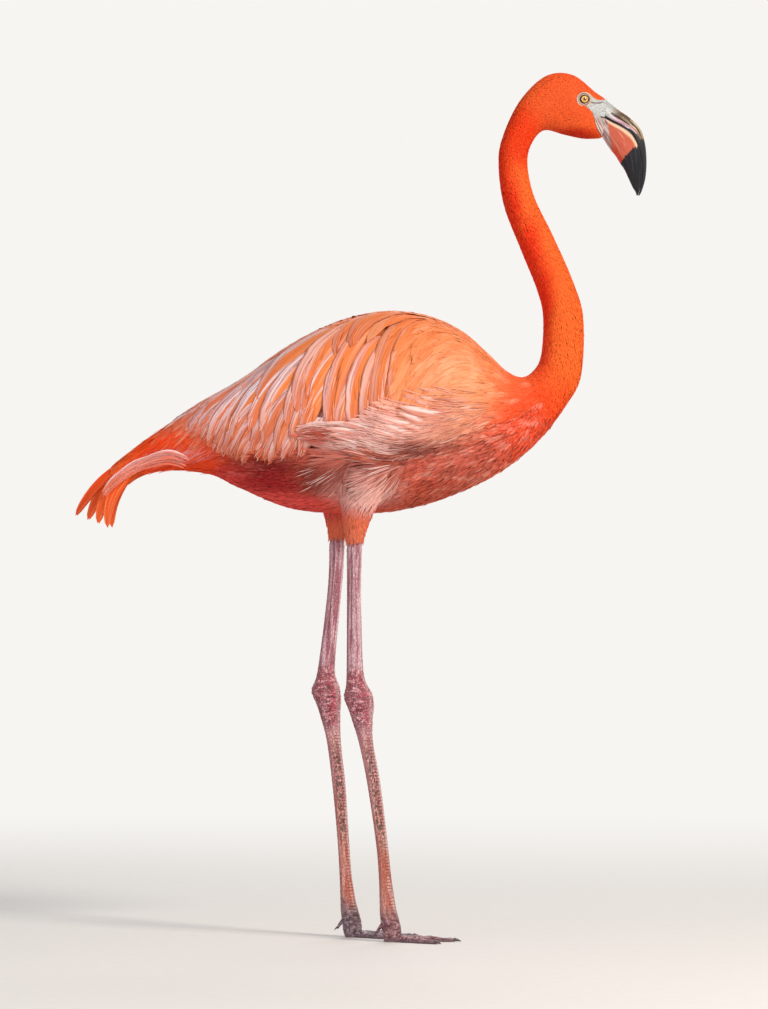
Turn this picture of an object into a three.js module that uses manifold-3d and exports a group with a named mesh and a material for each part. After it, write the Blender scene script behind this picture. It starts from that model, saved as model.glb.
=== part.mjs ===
// American flamingo, adult, standing on both feet with its neck raised: a still, life-size model.
//
// Millimetres. +X is the way the bird faces, +Y is its left side and +Z is up. The soles are at Z = 0.
// The bird is laid out with X = 0 over its feet, and at the end the group is shifted so that the
// origin is the middle of its bounding box, on the floor.

import * as THREE from "three";
import { mergeVertices } from "three/addons/utils/BufferGeometryUtils.js";
import Module from "manifold-3d";

const wasm = await Module();
wasm.setup();

// ---------------------------------------------------------------- driving dimensions

const GAP = 0.3; // clear space between two pieces that touch on the bird
const SIDES = ["right", "left"];

// Ribs of the body, from the tail coverts to the edge of the bill. Each rib is a section in the plane
// that holds its back point, its belly point and the Y direction:
// [back X, back Z, belly X, belly Z, half width].
const BODY_RIBS = [
  [-336, 633, -326, 604, 17], // end of the tail coverts
  [-300, 661, -294, 625, 26],
  [-262, 688, -253, 633, 33], // tail base
  [-215, 719, -206, 628, 47], // rump
  [-159, 751, -159, 606, 65],
  [-94, 796, -94, 580, 78],
  [-27, 829, -30, 574, 84], // middle of the back
  [40, 842, 34, 575, 84],
  [94, 836, 91, 586, 80], // shoulders
  [138, 816, 137, 603, 72],
  [171, 788, 177, 622, 60],
  [194, 766, 215, 648, 46], // root of the neck
  [214, 756, 249, 681, 36],
  [231, 763, 277, 718, 30],
  [243, 785, 297, 758, 27],
  [246, 836, 300, 836, 25], // foot of the rising neck
  [238, 873, 285, 888, 23],
  [215, 930, 258, 949, 21.5],
  [193, 988, 234, 999, 19.5],
  [186, 1042, 225, 1042, 18.5],
  [191, 1078, 230, 1069, 18.5], // nape
  [214, 1127, 247, 1088, 20.5],
  [249, 1161, 275, 1082, 24], // crown
  [285, 1163, 299, 1077, 24.5], // brow
  [317, 1139, 318, 1077, 18],
  [331, 1130, 326, 1078, 14], // edge of the bill
];
const BODY_SIDES = 22; // facets round the body
const BODY_STEPS = 2; // rings from one rib to the next
const EGG = 0.08; // how much fuller a section is above its middle than below it

// The ribs between which each length of the body lies.
const LENGTHS = {
  coverts: [0, 2],
  trunk: [2, 12],
  neck_lower: [12, 15],
  neck_middle: [15, 17.5],
  neck_upper: [17.5, 20],
  head: [20, 25],
};

// The folded wing is a layer over the trunk. At each rib it reaches from an upper to a lower edge,
// given as degrees round the section from the back.
const WING = {
  rib: [2.7, 3.2, 4, 5, 6, 7, 8, 9, 10, 10.5],
  upper: [50, 18, 4, 3, 3, 3, 9, 24, 48, 62],
  lower: [90, 103, 116, 115, 120, 120, 113, 103, 88, 76],
  edge: 1.2, // thickness along the upper edge
  hem: 3.2, // thickness along the lower edge
  bulge: 6, // how much thicker it is at its middle
  sunk: 8, // how deep its blank starts inside the trunk
  across: 6, // facets from edge to edge
  points: 7, // feather tips along the rear of the lower edge
  pointsEnd: 3.9, // where they stop, counted in the columns above
  notch: 9, // degrees that the edge climbs between two tips
};

// Four pairs of tail feathers. The first pair is the middle one, and each next pair is shifted by `next`.
const TAIL = {
  pairs: 4,
  root: { at: [-272, 8, 662], next: [-3, 4, -5] },
  bend: { at: [-350, 14, 631], next: [3.3, 7, -4.5] },
  tip: { at: [-380, 15, 570], next: [14.5, 11, -5.5] },
  roll: 42, // degrees by which the middle feathers' outer edges hang
  rollNext: 7,
  halfWidth: 10.5,
  halfThick: 1.5,
};

// Bill ribs from the face to the tip: culmen, mouth line and underside as [X, Z] points, and the half
// widths of the upper and the lower mandible. The first rib lies on the face.
const BILL_RIBS = [
  { culmen: [331, 1130], mouth: [328.6, 1105], under: [326, 1078], half: [12.5, 13.5] },
  { culmen: [347, 1120], mouth: [338, 1100], under: [335.5, 1064], half: [12, 15] },
  { culmen: [364, 1106], mouth: [350.5, 1094], under: [343.5, 1054], half: [12, 16.5] },
  { culmen: [376.5, 1090], mouth: [364, 1084.5], under: [350, 1043.5], half: [11.5, 16] },
  { culmen: [383, 1070], mouth: [373, 1070], under: [355, 1036], half: [10.5, 14] },
  { culmen: [385, 1047], mouth: [378, 1049], under: [360, 1025.5], half: [8.5, 11] },
  { culmen: [383.5, 1024], mouth: [379.2, 1026], under: [366, 1012.5], half: [6, 7] },
  { culmen: [378.5, 1006.5], mouth: [376, 1008], under: [370.5, 1005], half: [3, 3.4] },
  { culmen: [375, 1000], mouth: [373.8, 1001], under: [371.8, 1000.5], half: [1.2, 1.4] },
];
const BILL_ARC = 8; // facets over a mandible

const EYE = { x: 300.3, y: 15.4, z: 1128.5, radius: 7.4 };

// Ribs of the legs, as level sections: [right X, right Z, left X, left Z, half fore and aft, half across].
const LEG_RIBS = [
  [6, 664, -4, 664, 34, 20], // root, under the wing
  [5, 625, -12, 625, 41, 30], // flank
  [-2, 580, -27, 577, 23, 19],
  [-7, 538, -31, 544, 12, 10.5], // cuff, where the feathers end
  [-8, 498, -33, 492, 9.7, 7.6],
  [-8, 440, -38, 437, 9.7, 7.4],
  [-6.5, 358, -46, 362, 11.6, 8.4], // foot of the shank
  [-1, 327, -45.5, 333, 18.4, 12.5], // hock
  [3, 297, -41, 302, 14, 11],
  [8, 266, -36, 266, 9.6, 8], // head of the tarsus
  [18, 214, -29, 207, 8.9, 6.6],
  [28.5, 137, -23.5, 138, 7.9, 6],
  [33, 92, -20, 86, 8.2, 6.3],
  [36.5, 52, -16.5, 50, 10.4, 8.2], // ankle
];
const LEG_LENGTHS = { thigh: [0, 3], shank: [3, 6], hock: [6, 9], tarsus: [9, 13] };
const LEG_SIDES = 10;
const LEG_STEPS = 2;
const HIP_Y = 48;
const FOOT_Y = 43;
const HIP_RIBS = 6; // ribs over which the leg comes in from the hip's Y to the foot's

// Below the ankle, the ball of the foot: [ahead of the ankle, Z, half fore and aft, half across].
const BALL_RIBS = [
  [2, 36, 12, 9.5],
  [5, 20, 13, 11],
  [6, 8, 12.5, 11.5],
  [6, 0, 10, 9.5],
];

// Toes, measured from the middle of the ball. A positive turn is towards the other foot.
const TOES = {
  inner: { turn: 37, length: 66, half: 4.6 },
  middle: { turn: 0, length: 84, half: 5.2 },
  outer: { turn: -37, length: 73, half: 4.7 },
};
const FOOT_TURN = { right: 0, left: 3 }; // degrees inwards
const TOE = { height: [10.5, 5.2], swell: 0.14, joints: 3, rings: 6, tip: 0.62 };
const TOE_SECTION = { middle: 0.45, reach: 0.6 }; // its middle and half height, as shares of its height
const WEB = { thick: 2.4, reach: 0.9, scoop: 0.66, facets: 6 };

// The hind toe, from its root to its tip, as [behind the middle of the ball, Z].
const HIND_TOE = { root: [9, 27], tip: [20, 14], half: [4.6, 3.2] };
const CLAW = { length: 8.5, half: 2.6, tip: 0.6, lift: 3.2, drop: 2.2 };
const HIND_CLAW = { length: 5, half: 2.2, tip: 0.5, lift: 0, drop: 5 };

// ---------------------------------------------------------------- finishes

const finish = (color, roughness) => new THREE.MeshStandardMaterial({ color, roughness, metalness: 0 });
const MATERIALS = {
  plumage: finish(0xee6a38, 0.85),
  wing_feathers: finish(0xf3a67c, 0.85),
  tail_feathers: finish(0xe98a68, 0.85),
  leg_skin: finish(0xc08a90, 0.6),
  foot_skin: finish(0x94787f, 0.6),
  bill_upper: finish(0xd9a08a, 0.4),
  bill_lower: finish(0x3a3032, 0.4),
  claw_horn: finish(0x3c3436, 0.45),
  eye: finish(0xdec07a, 0.12),
};

// ---------------------------------------------------------------- shape helpers

const { lerp, smoothstep, degToRad: radians } = THREE.MathUtils;
const vec = (x, y, z) => new THREE.Vector3(x, y, z);
const steps = (count) => Array.from({ length: count + 1 }, (_, i) => i / count);
const turns = (count) => steps(count).slice(1).map((s) => 2 * Math.PI * s);
const sideSign = (side) => (side === "right" ? -1 : 1);

// Value at place t, counted in rows, on a smooth curve through one value of each row.
function through(values, t) {
  const last = values.length - 1;
  const i = Math.min(Math.floor(Math.max(t, 0)), last - 1);
  const f = t - i;
  const [b, c] = [values[i], values[i + 1]];
  const a = i > 0 ? values[i - 1] : 2 * b - c;
  const d = i + 2 <= last ? values[i + 2] : 2 * c - b;
  return b + 0.5 * f * (c - a + f * (2 * a - 5 * b + 4 * c - d + f * (3 * (b - c) + d - a)));
}

// The same for a table of rows, column by column.
const throughRows = (rows, t) => rows[0].map((_, k) => through(rows.map((row) => row[k]), t));

function geometryFrom(points, index) {
  const geometry = new THREE.BufferGeometry().setFromPoints(points);
  geometry.setIndex(index);
  return geometry;
}

// A closed body through rings of equally many points, with a fan over each end.
function loft(rings) {
  const n = rings[0].length;
  const middle = (ring) => ring.reduce((sum, p) => sum.add(p), vec(0, 0, 0)).divideScalar(n);
  const points = [...rings.flat(), middle(rings[0]), middle(rings.at(-1))];
  const [first, final] = [points.length - 2, points.length - 1];
  const last = (rings.length - 1) * n;
  const index = [];
  for (let i = 0; i < n; i++) {
    const j = (i + 1) % n;
    for (let r = 0; r < last; r += n) index.push(r + i, r + j, r + n + j, r + i, r + n + j, r + n + i);
    index.push(first, j, i, final, last + i, last + j);
  }
  return geometryFrom(points, index);
}

// A closed layer between two grids of points, each a list of equally long rows.
function layer(outer, inner) {
  const [rows, columns] = [outer.length, outer[0].length];
  const inside = rows * columns;
  const at = (r, c) => r * columns + c;
  const index = [];
  const quad = (a, b, c, d) => index.push(a, b, c, a, c, d);
  const wall = (a, b) => quad(b, a, a + inside, b + inside);
  for (let r = 0; r + 1 < rows; r++) {
    for (let c = 0; c + 1 < columns; c++) {
      const corners = [at(r, c), at(r, c + 1), at(r + 1, c + 1), at(r + 1, c)];
      quad(...corners);
      quad(...corners.reverse().map((k) => k + inside));
    }
    wall(at(r + 1, 0), at(r, 0));
    wall(at(r, columns - 1), at(r + 1, columns - 1));
  }
  for (let c = 0; c + 1 < columns; c++) {
    wall(at(0, c), at(0, c + 1));
    wall(at(rows - 1, c + 1), at(rows - 1, c));
  }
  return geometryFrom([...outer.flat(), ...inner.flat()], index);
}

// A closed geometry as a manifold-3d solid, turned right side out.
function solid(geometry) {
  const bare = geometry.clone();
  bare.deleteAttribute("normal");
  bare.deleteAttribute("uv");
  const merged = mergeVertices(bare, 1e-3);
  const vertProperties = merged.attributes.position.array;
  const triVerts = new Uint32Array(merged.index.array);
  const body = () => new wasm.Manifold(new wasm.Mesh({ numProp: 3, vertProperties, triVerts }));
  if (body().volume() < 0)
    for (let i = 0; i < triVerts.length; i += 3) triVerts.subarray(i, i + 3).reverse();
  return body();
}

const joined = (geometries) => geometries.map(solid).reduce((whole, next) => whole.add(next));

// A named mesh of the largest body in a manifold-3d solid.
function mesh(name, body, material) {
  const [largest] = body.decompose().sort((a, b) => b.volume() - a.volume());
  const { vertProperties, triVerts } = largest.getMesh();
  const geometry = new THREE.BufferGeometry();
  geometry.setAttribute("position", new THREE.BufferAttribute(vertProperties, 3));
  geometry.setIndex(new THREE.BufferAttribute(triVerts, 1));
  const made = new THREE.Mesh(geometry, MATERIALS[material]);
  made.name = name;
  return made;
}

// ---------------------------------------------------------------- body, neck and head

// Point of the body at rib place u and angle a round the section, from the back towards the side
// given by sign, and `out` outside the surface.
function onBody(u, a, out = 0, sign = -1) {
  const [backX, backZ, bellyX, bellyZ, half] = throughRows(BODY_RIBS, u);
  const up = vec(backX - bellyX, 0, backZ - bellyZ).divideScalar(2);
  const across = (half + out) * Math.sin(a) * (1 + EGG * Math.cos(a));
  const height = (up.length() + out) * Math.cos(a);
  const middle = vec((backX + bellyX) / 2, sign * across, (backZ + bellyZ) / 2);
  return middle.addScaledVector(up.normalize(), height);
}

// The body's section at rib place u, moved `ahead` along the body.
function bodyRing(u, out, ahead) {
  const up = onBody(u, 0).sub(onBody(u, Math.PI)).normalize();
  const forward = vec(up.z, 0, -up.x);
  return turns(BODY_SIDES).map((a) => onBody(u, a, out).addScaledVector(forward, ahead));
}

// Moves the first and the last ring of a length inwards by half the gap.
const trim = (s) => (s === 0 ? GAP / 2 : s === 1 ? -GAP / 2 : 0);

// A length of the body between two rib places.
function bodyLength([from, to], out = 0) {
  const count = Math.round((to - from) * BODY_STEPS);
  return solid(loft(steps(count).map((s) => bodyRing(lerp(from, to, s), out, trim(s)))));
}

function eyeball(side, radius) {
  const globe = new THREE.SphereGeometry(radius, 12, 7);
  return solid(globe.translate(EYE.x, sideSign(side) * EYE.y, EYE.z));
}

function makeHead() {
  const sockets = SIDES.map((side) => eyeball(side, EYE.radius + GAP));
  return sockets.reduce((head, socket) => head.subtract(socket), bodyLength(LENGTHS.head));
}

// ---------------------------------------------------------------- bill

// A mandible: sections of half an ellipse, each standing on the mouth line and reaching to its crest.
function mandible(crest, which) {
  const table = BILL_RIBS.map((rib) => [...rib.mouth, ...rib[crest], rib.half[which]]);
  const last = table.length - 1;
  const rings = steps(2 * last).map((s) => {
    const [mouthX, mouthZ, crestX, crestZ, half] = throughRows(table, s * last);
    const up = vec(crestX - mouthX, 0, crestZ - mouthZ);
    const foot = vec(mouthX, 0, mouthZ).addScaledVector(up.clone().normalize(), GAP / 2);
    if (s === 0) foot.x += GAP;
    return steps(BILL_ARC).map((k) => {
      const across = vec(0, half * Math.cos(Math.PI * k), 0);
      return across.add(foot).addScaledVector(up, Math.sin(Math.PI * k));
    });
  });
  return solid(loft(rings));
}

// ---------------------------------------------------------------- wings

// How far the lower edge has climbed from its line of tips, from 0 at a tip to 1 between two tips.
// Past the last tip it falls back to the line.
function climb(t) {
  if (t > WING.pointsEnd) return smoothstep(WING.pointsEnd + 1 - t, 0, 1);
  const place = (t / WING.pointsEnd) * WING.points;
  return Math.abs(2 * (place % 1) - 1) ** 1.5;
}

// The layer of folded wing feathers. Grown by `grow`, it is the room that it takes up.
function wingBlank(side, grow = 0) {
  const last = WING.rib.length - 1;
  const pointed = steps(WING.points * 4).map((s) => s * WING.pointsEnd);
  const plain = steps(9).slice(1).map((s) => lerp(WING.pointsEnd, last, s));
  const place = (t, v, out) => {
    const lower = through(WING.lower, t) - WING.notch * climb(t) + grow;
    const upper = through(WING.upper, t) - grow;
    return onBody(through(WING.rib, t), radians(lerp(upper, lower, v)), out, sideSign(side));
  };
  const height = (t, v) => {
    const s = t / last;
    return lerp(WING.edge, WING.hem, v) + WING.bulge * Math.sqrt(16 * s * (1 - s) * v * (1 - v)) + grow;
  };
  const row = (t, out) => steps(WING.across).map((v) => place(t, v, out(t, v)));
  const grid = (out) => [...pointed, ...plain].map((t) => row(t, out));
  return solid(layer(grid(height), grid(() => -WING.sunk)));
}

// ---------------------------------------------------------------- tail

// A tail feather: a thin lens of a section along a curved quill, rolled about it and rounded at its tip.
function tailFeather(side, pair) {
  const sign = sideSign(side);
  const place = ({ at, next }) => vec(...at).addScaledVector(vec(...next), pair).multiply(vec(1, sign, 1));
  const quill = new THREE.QuadraticBezierCurve3(place(TAIL.root), place(TAIL.bend), place(TAIL.tip));
  const roll = sign * radians(TAIL.roll + pair * TAIL.rollNext);
  const rings = steps(5).map((s) => {
    const along = quill.getTangentAt(s);
    const across = vec(0, sign, 0).projectOnPlane(along).normalize().applyAxisAngle(along, roll);
    const face = along.clone().cross(across);
    const width = TAIL.halfWidth * lerp(0.6, 1, Math.min(2 * s, 1)) * Math.sqrt(1.04 - s ** 8);
    return turns(6).map((a) =>
      quill
        .getPointAt(s)
        .addScaledVector(across, width * Math.cos(a))
        .addScaledVector(face, TAIL.halfThick * Math.sin(a)),
    );
  });
  return loft(rings);
}

function makeTail() {
  const pairs = Array.from({ length: TAIL.pairs }, (_, pair) => pair);
  const feathers = SIDES.flatMap((side) => pairs.map((pair) => tailFeather(side, pair)));
  return joined(feathers).add(bodyLength(LENGTHS.coverts));
}

// ---------------------------------------------------------------- legs

const levelRing = (centre, halfX, halfY) =>
  turns(LEG_SIDES).map((a) => vec(halfX * Math.cos(a), halfY * Math.sin(a), 0).add(centre));

// Middle and half widths of a leg at rib place t.
function legAt(side, t) {
  const [rightX, rightZ, leftX, leftZ, halfX, halfY] = throughRows(LEG_RIBS, t);
  const [x, z] = side === "right" ? [rightX, rightZ] : [leftX, leftZ];
  const y = sideSign(side) * lerp(HIP_Y, FOOT_Y, Math.min(t / HIP_RIBS, 1));
  return { centre: vec(x, y, z), halfX, halfY };
}

const ankleOf = (side) => legAt(side, LEG_RIBS.length - 1);

function legLength(side, [from, to]) {
  const rings = steps((to - from) * LEG_STEPS).map((s) => {
    const { centre, halfX, halfY } = legAt(side, lerp(from, to, s));
    return levelRing(centre.add(vec(0, 0, -trim(s))), halfX, halfY);
  });
  return solid(loft(rings));
}

// A thigh fits round the trunk and under the wing.
const makeThigh = (side, trunkRoom) =>
  legLength(side, LEG_LENGTHS.thigh).subtract(trunkRoom).subtract(wingBlank(side, GAP));

// ---------------------------------------------------------------- feet

// A place on the bird from one on the foot: x ahead of the middle of the ball, y towards the other
// foot, both turned by `turn` degrees on the floor, and z above the floor.
function onFoot(side, x, y, z, turn = 0) {
  const inward = -sideSign(side);
  const { centre } = ankleOf(side);
  const angle = inward * radians(FOOT_TURN[side] + turn);
  const [ahead] = BALL_RIBS.at(-1);
  return vec(x, inward * y, 0).applyAxisAngle(vec(0, 0, 1), angle).add(vec(centre.x + ahead, centre.y, z));
}

function ball(side) {
  const { centre, halfX, halfY } = ankleOf(side);
  const top = levelRing(vec(centre.x, centre.y, centre.z - GAP / 2), halfX, halfY);
  const below = ([ahead, z, ...half]) => levelRing(vec(centre.x + ahead, centre.y, z), ...half);
  return loft([top, ...BALL_RIBS.map(below)]);
}

// A toe lies flat on the floor and swells at its joints.
function toe(side, { turn, length, half }) {
  const rings = steps(TOE.rings).map((s) => {
    const swell = (1 + TOE.swell * s * Math.cos(2 * Math.PI * TOE.joints * s)) * (s === 1 ? TOE.tip : 1);
    const width = half * swell * lerp(1.15, 0.9, s);
    const height = lerp(...TOE.height, Math.sqrt(s)) * swell;
    return turns(6).map((a) => {
      const z = height * (TOE_SECTION.middle + TOE_SECTION.reach * Math.sin(a));
      return onFoot(side, s * length, width * Math.cos(a), Math.max(0, z), turn);
    });
  });
  return loft(rings);
}

// A web between two toes, scooped out along its front edge.
function web(side, one, other) {
  const heel = new THREE.Vector2(0, 0);
  const tip = ({ turn, length }) =>
    new THREE.Vector2(length * WEB.reach, 0).rotateAround(heel, radians(turn));
  const [a, b] = [tip(one), tip(other)];
  const pull = a.clone().add(b).multiplyScalar(WEB.scoop / (2 * WEB.reach));
  const outline = new THREE.Shape().moveTo(heel.x, heel.y).lineTo(a.x, a.y);
  outline.quadraticCurveTo(pull.x, pull.y, b.x, b.y).lineTo(heel.x, heel.y);
  const settings = { depth: WEB.thick, bevelEnabled: false, curveSegments: WEB.facets };
  const geometry = new THREE.ExtrudeGeometry(outline, settings);
  const points = geometry.attributes.position;
  for (let i = 0; i < points.count; i++) {
    const placed = onFoot(side, points.getX(i), points.getY(i), points.getZ(i));
    points.setXYZ(i, placed.x, placed.y, placed.z);
  }
  return geometry;
}

// A taper of upright sections that leaves the foot along `turn`, through places given as [away, Z].
function spur(side, places, halves, turn, facets) {
  const rings = places.map(([away, z], i) =>
    turns(facets).map((a) => {
      const height = Math.max(GAP, z + halves[i] * Math.sin(a));
      return onFoot(side, away, halves[i] * Math.cos(a), height, turn);
    }),
  );
  return loft(rings);
}

const hindToe = (side) => spur(side, [HIND_TOE.root, HIND_TOE.tip], HIND_TOE.half, 180, 8);

function makeFoot(side) {
  const { inner, middle, outer } = TOES;
  const toes = [inner, middle, outer].map((each) => toe(side, each));
  return joined([ball(side), ...toes, web(side, inner, middle), web(side, middle, outer), hindToe(side)]);
}

// A claw leaves the toe at [away, Z], level, and curves down to its tip.
function claw(side, [away, z], turn, { length, half, tip, lift, drop }) {
  const bend = steps(2);
  const places = bend.map((s) => [away + GAP + s * length, z + lift - drop * s * s]);
  return solid(spur(side, places, bend.map((s) => lerp(half, tip, s ** 1.3)), turn, 6));
}

// ---------------------------------------------------------------- the bird

const group = new THREE.Group();
const add = (name, body, material) => group.add(mesh(name, body, material));

for (const name of ["trunk", "neck_lower", "neck_middle", "neck_upper"])
  add(name, bodyLength(LENGTHS[name]), "plumage");
add("head", makeHead(), "plumage");
add("bill_upper", mandible("culmen", 0), "bill_upper");
add("bill_lower", mandible("under", 1), "bill_lower");
add("tail", makeTail(), "tail_feathers");

const [tailEnd, neckEnd] = LENGTHS.trunk;
const trunkRoom = bodyLength([tailEnd - 1, neckEnd + 1], GAP);
for (const side of SIDES) {
  add(`eye_${side}`, eyeball(side, EYE.radius), "eye");
  add(`wing_${side}`, wingBlank(side).subtract(trunkRoom), "wing_feathers");
  add(`thigh_${side}`, makeThigh(side, trunkRoom), "plumage");
  for (const name of ["shank", "hock", "tarsus"])
    add(`${name}_${side}`, legLength(side, LEG_LENGTHS[name]), "leg_skin");
  add(`foot_${side}`, makeFoot(side), "foot_skin");
  for (const [name, { length, turn }] of Object.entries(TOES))
    add(`claw_${side}_${name}`, claw(side, [length, 0], turn, CLAW), "claw_horn");
  add(`claw_${side}_hind`, claw(side, HIND_TOE.tip, 180, HIND_CLAW), "claw_horn");
}

const box = new THREE.Box3().setFromObject(group);
group.position.set(-(box.min.x + box.max.x) / 2, -(box.min.y + box.max.y) / 2, -box.min.z);

export default group;
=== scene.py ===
# %% [markdown]
# # A standing flamingo, life size
#
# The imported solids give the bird's true shape. This script dresses them as a museum would: one skin
# that lies a little inside the solids, and over it some 36,600 separate feathers and barbs, each a
# thin closed blade that follows the lie of the coat. The eyes, the bill and the claws stay pieces of
# their own. Lengths are written in millimetres as the bird was laid out, with X ahead, Y to its
# left and Z up, and turned into metres only when a mesh is made.

# %% Load the frame and keep its box
import math

import bpy
import numpy as np
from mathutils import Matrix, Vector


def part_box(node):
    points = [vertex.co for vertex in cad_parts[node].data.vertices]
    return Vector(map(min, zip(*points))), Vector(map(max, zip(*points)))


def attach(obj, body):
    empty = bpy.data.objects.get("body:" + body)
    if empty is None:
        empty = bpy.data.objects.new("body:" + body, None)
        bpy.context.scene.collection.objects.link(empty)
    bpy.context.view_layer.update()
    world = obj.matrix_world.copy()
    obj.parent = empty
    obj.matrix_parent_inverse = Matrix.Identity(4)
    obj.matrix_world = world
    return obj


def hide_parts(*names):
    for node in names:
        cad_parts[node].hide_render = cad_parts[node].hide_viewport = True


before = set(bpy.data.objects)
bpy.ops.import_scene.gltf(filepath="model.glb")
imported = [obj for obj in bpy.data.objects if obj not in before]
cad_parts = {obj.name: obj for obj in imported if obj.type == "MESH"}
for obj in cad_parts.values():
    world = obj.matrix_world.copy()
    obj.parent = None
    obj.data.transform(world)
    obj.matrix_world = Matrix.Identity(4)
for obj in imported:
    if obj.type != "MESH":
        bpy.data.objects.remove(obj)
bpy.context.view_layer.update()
rng = np.random.default_rng(11)

# %% [markdown]
# ## Where the bird stands in the frame
#
# The bird was laid out over its feet and then shifted to the middle of its box. The two eyeballs
# are exact spheres at known places, so the middle of their boxes gives that shift back.

# %% Work out the shift from the eyes
MM = 0.001
SIDES = {"right": -1, "left": 1}
EYE = {"x": 300.3, "y": 15.4, "z": 1128.5, "radius": 7.4}


def middle_of(node):
    low, high = (np.array(corner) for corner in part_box(node))
    return (low + high) / 2


SHIFT = (middle_of("eye_right") + middle_of("eye_left")) / 2 - np.array([EYE["x"], 0, EYE["z"]]) * MM
print("layout to frame:", SHIFT.round(5), "m")


def metres(points):
    """Frame places of layout places: points * MM + SHIFT."""
    return np.asarray(points) * MM + SHIFT


def eye_centre(side):
    return np.array([EYE["x"], SIDES[side] * EYE["y"], EYE["z"]])


# %% [markdown]
# ## Camera
#
# The bird is seen from its right side, level with its lower neck, from eight metres away with a
# long lens, so its legs and neck show almost without perspective.

# %% Set up the camera
CAMERA = {"x": 32, "away": 8000, "height": 585, "seen": 1357, "sensor": 36}

camera = bpy.data.objects.new("camera", bpy.data.cameras.new("camera"))
camera.data.sensor_width = CAMERA["sensor"]
camera.data.lens = CAMERA["sensor"] * CAMERA["away"] / CAMERA["seen"]
camera.location = metres([CAMERA["x"], -CAMERA["away"], CAMERA["height"]])
camera.rotation_euler = (math.pi / 2, 0, 0)
camera.data.clip_end = 100
bpy.context.collection.objects.link(camera)
bpy.context.scene.camera = camera
bpy.context.scene.view_settings.view_transform = "Standard"
print("lens", round(camera.data.lens, 1), "mm")

# %% [markdown]
# ## Shader sums as plain expressions
#
# A material is a graph of nodes. Writing `1 - mask` is easier to read than placing a node, so one
# small class stands for a node's output and adds the Math node that each operator names. Colours
# and vectors pass through Mix and Vector Math nodes, and each of these has a short word below.

# %% Signals and finishes


class Signal:
    """A node's output. An operator on it adds the Math node of the same meaning."""

    def __init__(self, finish, socket):
        self.finish = finish
        self.socket = socket

    def math(self, operation, *values):
        return self.finish.node("Math", values, operation=operation)

    def __add__(self, other):
        return self.math("ADD", self, other)

    __radd__ = __add__

    def __sub__(self, other):
        return self.math("SUBTRACT", self, other)

    def __rsub__(self, other):
        return self.math("SUBTRACT", other, self)

    def __mul__(self, other):
        return self.math("MULTIPLY", self, other)

    __rmul__ = __mul__

    def __truediv__(self, other):
        return self.math("DIVIDE", self, other)

    def __pow__(self, other):
        return self.math("POWER", self, other)

    def __abs__(self):
        return self.math("ABSOLUTE", self)


class Finish:
    """A material that grows node by node round one Principled shader."""

    def __init__(self, name, constants):
        self.material = bpy.data.materials.new(name)
        self.material.use_nodes = True
        self.tree = self.material.node_tree
        self.shader = self.tree.nodes["Principled BSDF"]
        for socket, value in constants.items():
            self.shader.inputs[socket].default_value = value

    def feed(self, socket, value):
        if isinstance(value, Signal):
            self.tree.links.new(value.socket, socket)
        else:
            socket.default_value = value

    def node(self, kind, inputs=(), output=0, stops=(), **settings):
        """Adds a node: first its settings and ramp stops, then the values or links of its sockets."""
        made = self.tree.nodes.new("ShaderNode" + kind)
        for name, value in settings.items():
            setattr(made, name, value)
        for place, (position, value) in enumerate(stops):
            elements = made.color_ramp.elements
            stop = elements[place] if place < 2 else elements.new(position)
            stop.position = position
            stop.color = value
        pairs = inputs.items() if isinstance(inputs, dict) else enumerate(inputs)
        for key, value in pairs:
            self.feed(made.inputs[key], value)
        return Signal(self, made.outputs[output])

    def paint(self, socket, value):
        self.feed(self.shader.inputs[socket], value)

    def attribute(self, name):
        return self.node("Attribute", output="Vector", attribute_name=name)

    def place(self):
        """The layout place of the point that is shaded."""
        return layout(self.node("TexCoord", output="Object"))

    def bump(self, height, strength, distance):
        inputs = {"Height": height, "Strength": strength, "Distance": distance}
        self.paint("Normal", self.node("Bump", inputs, output="Normal"))


print("signals and finishes ready")

# %% Words for single nodes


def colour(code):
    """Linear RGBA of an sRGB colour written as hex digits."""
    parts = [int(code[i : i + 2], 16) / 255 for i in (0, 2, 4)]
    return tuple(p / 12.92 if p < 0.04 else ((p + 0.055) / 1.055) ** 2.4 for p in parts) + (1.0,)


def node(kind, inputs, output=0, **settings):
    """Adds a node to the material that the first signal among its inputs belongs to."""
    values = inputs.values() if isinstance(inputs, dict) else inputs
    finish = next(value.finish for value in values if isinstance(value, Signal))
    return finish.node(kind, inputs, output, **settings)


def mix(mask, base, over, blend="MIX"):
    """Base where the mask is 0 and over where it is 1; either may be hex digits."""
    base, over = (colour(each) if isinstance(each, str) else each for each in (base, over))
    return node("Mix", {0: mask, 6: base, 7: over}, output=2, data_type="RGBA", blend_type=blend)


def most(one, other):
    return node("Math", [one, other], operation="MAXIMUM")


def ease(value, low, high):
    """0 below low, 1 above high and a smooth step between; low may be the larger."""
    return node("MapRange", [value, low, high, 0, 1], interpolation_type="SMOOTHSTEP")


def vector(operation, *values):
    output = "Value" if operation in ("LENGTH", "DOT_PRODUCT") else "Vector"
    return node("VectorMath", values, output=output, operation=operation)


def split(whole):
    parts = node("SeparateXYZ", [whole])
    return [Signal(whole.finish, socket) for socket in parts.socket.node.outputs]


def combine(x, y, z):
    return node("CombineXYZ", [x, y, z])


def noise(place, scale, detail=2.0):
    return node("TexNoise", {"Vector": place, "Scale": scale, "Detail": detail})


def layout(place):
    """Layout millimetres of a frame place, with Y counted outwards on both sides."""
    moved = vector("SUBTRACT", place, tuple(SHIFT))
    x, y, z = split(node("VectorMath", {0: moved, "Scale": 1 / MM}, operation="SCALE"))
    return combine(x, abs(y), z)


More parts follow.
